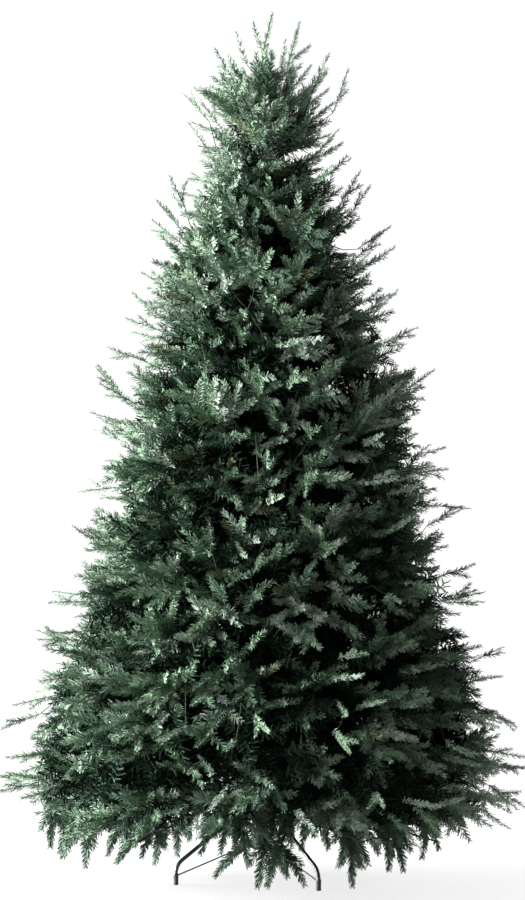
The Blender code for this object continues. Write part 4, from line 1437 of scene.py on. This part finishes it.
def add_bolt(bm, place, height, base, sign):
    """A six-sided bolt head with a rounded top, on an ear's outer face."""
    spot = Vector((EAR_REACH - 2 * BOLT_RADIUS, base, height))
    facing = Matrix.Rotation(-sign * math.pi / 2, 4, "X")
    where = place @ Matrix.Translation(spot) @ facing
    head = [
        (0, -BOLT_SINK),
        (BOLT_RADIUS, -BOLT_SINK),
        (BOLT_RADIUS, 0.75 * BOLT_HEAD),
        (0.8 * BOLT_RADIUS, BOLT_HEAD),
        (0, BOLT_HEAD),
    ]
    turn(bm, head, 6, where)


def build_foot(number, azimuth):
    """A moulded cap on a leg's end, with a rounded rim and two grooves."""
    inner = LEG_RADIUS + CLEARANCE
    outer = inner + FOOT_WALL
    profile = [(0, 0), (outer, 0)]
    for low in GROOVES:
        profile += [(outer - depth, low + height) for height, depth in GROOVE]
    profile += [(outer, FOOT_HEIGHT), (inner, FOOT_HEIGHT), (inner, FOOT_SOLE), (0, FOOT_SOLE)]
    bm = bmesh.new()
    turn(bm, softened(profile, FOOT_EDGE), SMALL_ROUND, Matrix.Translation(polar(FOOT_REACH, azimuth, 0)))
    settle(link_mesh(f"foot_cap_{number}", bm, black_rubber), "rubber", f"stand_foot_{number}")


def build_brace(number, azimuth):
    """A thin rod from an eye round the leg to the hub's lower ears."""
    inner = LEG_RADIUS + CLEARANCE
    outer = inner + BRACE_EYE_WALL
    low, high = BRACE_FOOT_HEIGHT - BRACE_EYE_HEIGHT, BRACE_FOOT_HEIGHT
    eye = softened([(inner, low), (outer, low), (outer, high), (inner, high), (inner, low)], BRACE_EYE_EDGE)
    bm = bmesh.new()
    turn(bm, eye + [eye[0]], SMALL_ROUND, Matrix.Translation(polar(FOOT_REACH, azimuth, 0)))
    outside = polar(FOOT_REACH - 0.5 * (inner + outer), azimuth, 0.5 * (low + high))
    inside = polar(BRACE_TOP[0], azimuth, BRACE_TOP[1])
    rod = outside - inside
    way = rod.to_track_quat("Z", "Y").to_matrix().to_4x4()
    ends = [(0, 0), (BRACE_RADIUS, 0), (BRACE_RADIUS, rod.length), (0, rod.length)]
    turn(bm, softened(ends, BRACE_EDGE), ROD_ROUND, Matrix.Translation(inside) @ way)
    settle(link_mesh(f"brace_{number}", bm, black_paint), "painted_steel", f"stand_brace_{number}")


# ---------------------------------------------------------------- floor, light and camera

CAMERA_PLACE = (0.006, -9.0, 1.13)
CAMERA_LENS = 137.8
CAMERA_SENSOR = 36.0
BRIGHT_SIDE = (-0.30, 0.95, 0.05)  # the white wall behind the tree and the lights over it
BRIGHT_SKY = 1.12
DIM_SKY = 0.12
LEFT_SIDE = (-0.99, 0.00, 0.08)  # a wide soft light
LEFT_SKY = 7.4
FLOOR_RADIUS = 2.0
FLOOR_GLOW = 0.74
LIGHTS = (  # (name, place, what it aims at, size, power)
    ("key", (-6.5, 0.2, 1.6), (0, 0, 0.7), 3.6, 5400),
    ("rim", (4.2, 1.6, 2.6), (0, 0, 1.0), 2.4, 400),
)


def area_light(name, place, aim, size, power):
    lamp = bpy.data.lights.new(name, "AREA")
    lamp.shape = "DISK"
    lamp.size = size
    lamp.energy = power
    obj = bpy.data.objects.new(name, lamp)
    obj.location = place
    obj.rotation_euler = (Vector(aim) - Vector(place)).to_track_quat("-Z", "Y").to_euler()
    bpy.context.scene.collection.objects.link(obj)


def build_floor():
    bm = bmesh.new()
    bmesh.ops.create_circle(bm, cap_ends=True, segments=96, radius=FLOOR_RADIUS)
    pale = patterned("pale_floor", (0.044, 0.044, 0.044), (0.050, 0.050, 0.050), 3, (0.7, 0.8), 0.05)
    shader = pale.node_tree.nodes["Principled BSDF"]
    shader.inputs["Emission Color"].default_value = (1, 1, 1, 1)
    shader.inputs["Emission Strength"].default_value = FLOOR_GLOW
    floor = link_mesh("floor", bm, pale)
    if floor.data.polygons[0].normal.z < 0:
        floor.data.flip_normals()


def build_sky():
    """Two bright sides of a dim sky. The camera sees neither brighter than the wall."""
    world = bpy.data.worlds.new("studio")
    world.use_nodes = True
    tree = Tree(world.node_tree)
    way = tree.add("ShaderNodeTexCoord").outputs["Generated"]

    def lit(side, first, last, low, high):
        """Rises from low to high as the cosine of the angle to a side goes from first to last."""
        cosine = tree.add("ShaderNodeVectorMath", {0: way, 1: side}, operation="DOT_PRODUCT").outputs["Value"]
        levels = {"Value": cosine, "From Min": first, "From Max": last, "To Min": low, "To Max": high}
        return tree.add("ShaderNodeMapRange", levels, interpolation_type="SMOOTHSTEP").outputs[0]

    wall = lit(BRIGHT_SIDE, 0.1, 0.6, DIM_SKY, BRIGHT_SKY)
    glow = tree.math("ADD", wall, lit(LEFT_SIDE, 0.25, 0.85, 0.0, LEFT_SKY))
    to_camera = tree.add("ShaderNodeLightPath").outputs["Is Camera Ray"]
    seen = {0: to_camera, 2: glow, 3: tree.math("MINIMUM", glow, BRIGHT_SKY)}
    glow = tree.add("ShaderNodeMix", seen).outputs[0]
    tree.tree.links.new(glow, world.node_tree.nodes["Background"].inputs["Strength"])
    world.node_tree.nodes["Background"].inputs["Color"].default_value = (1, 1, 1, 1)
    bpy.context.scene.world = world


def build_camera():
    camera = bpy.data.cameras.new("camera")
    camera.sensor_fit = "VERTICAL"
    camera.sensor_height = CAMERA_SENSOR
    camera.lens = CAMERA_LENS
    camera.clip_end = 100
    obj = bpy.data.objects.new("camera", camera)
    obj.location = CAMERA_PLACE
    obj.rotation_euler = (math.pi / 2, 0, 0)
    bpy.context.scene.collection.objects.link(obj)
    bpy.context.scene.camera = obj
    bpy.context.scene.view_settings.view_transform = "Standard"


build_floor()
build_sky()
for light in LIGHTS:
    area_light(*light)
build_camera()
build_pole()
build_boughs()
build_hub()
build_legs()
build_foliage()
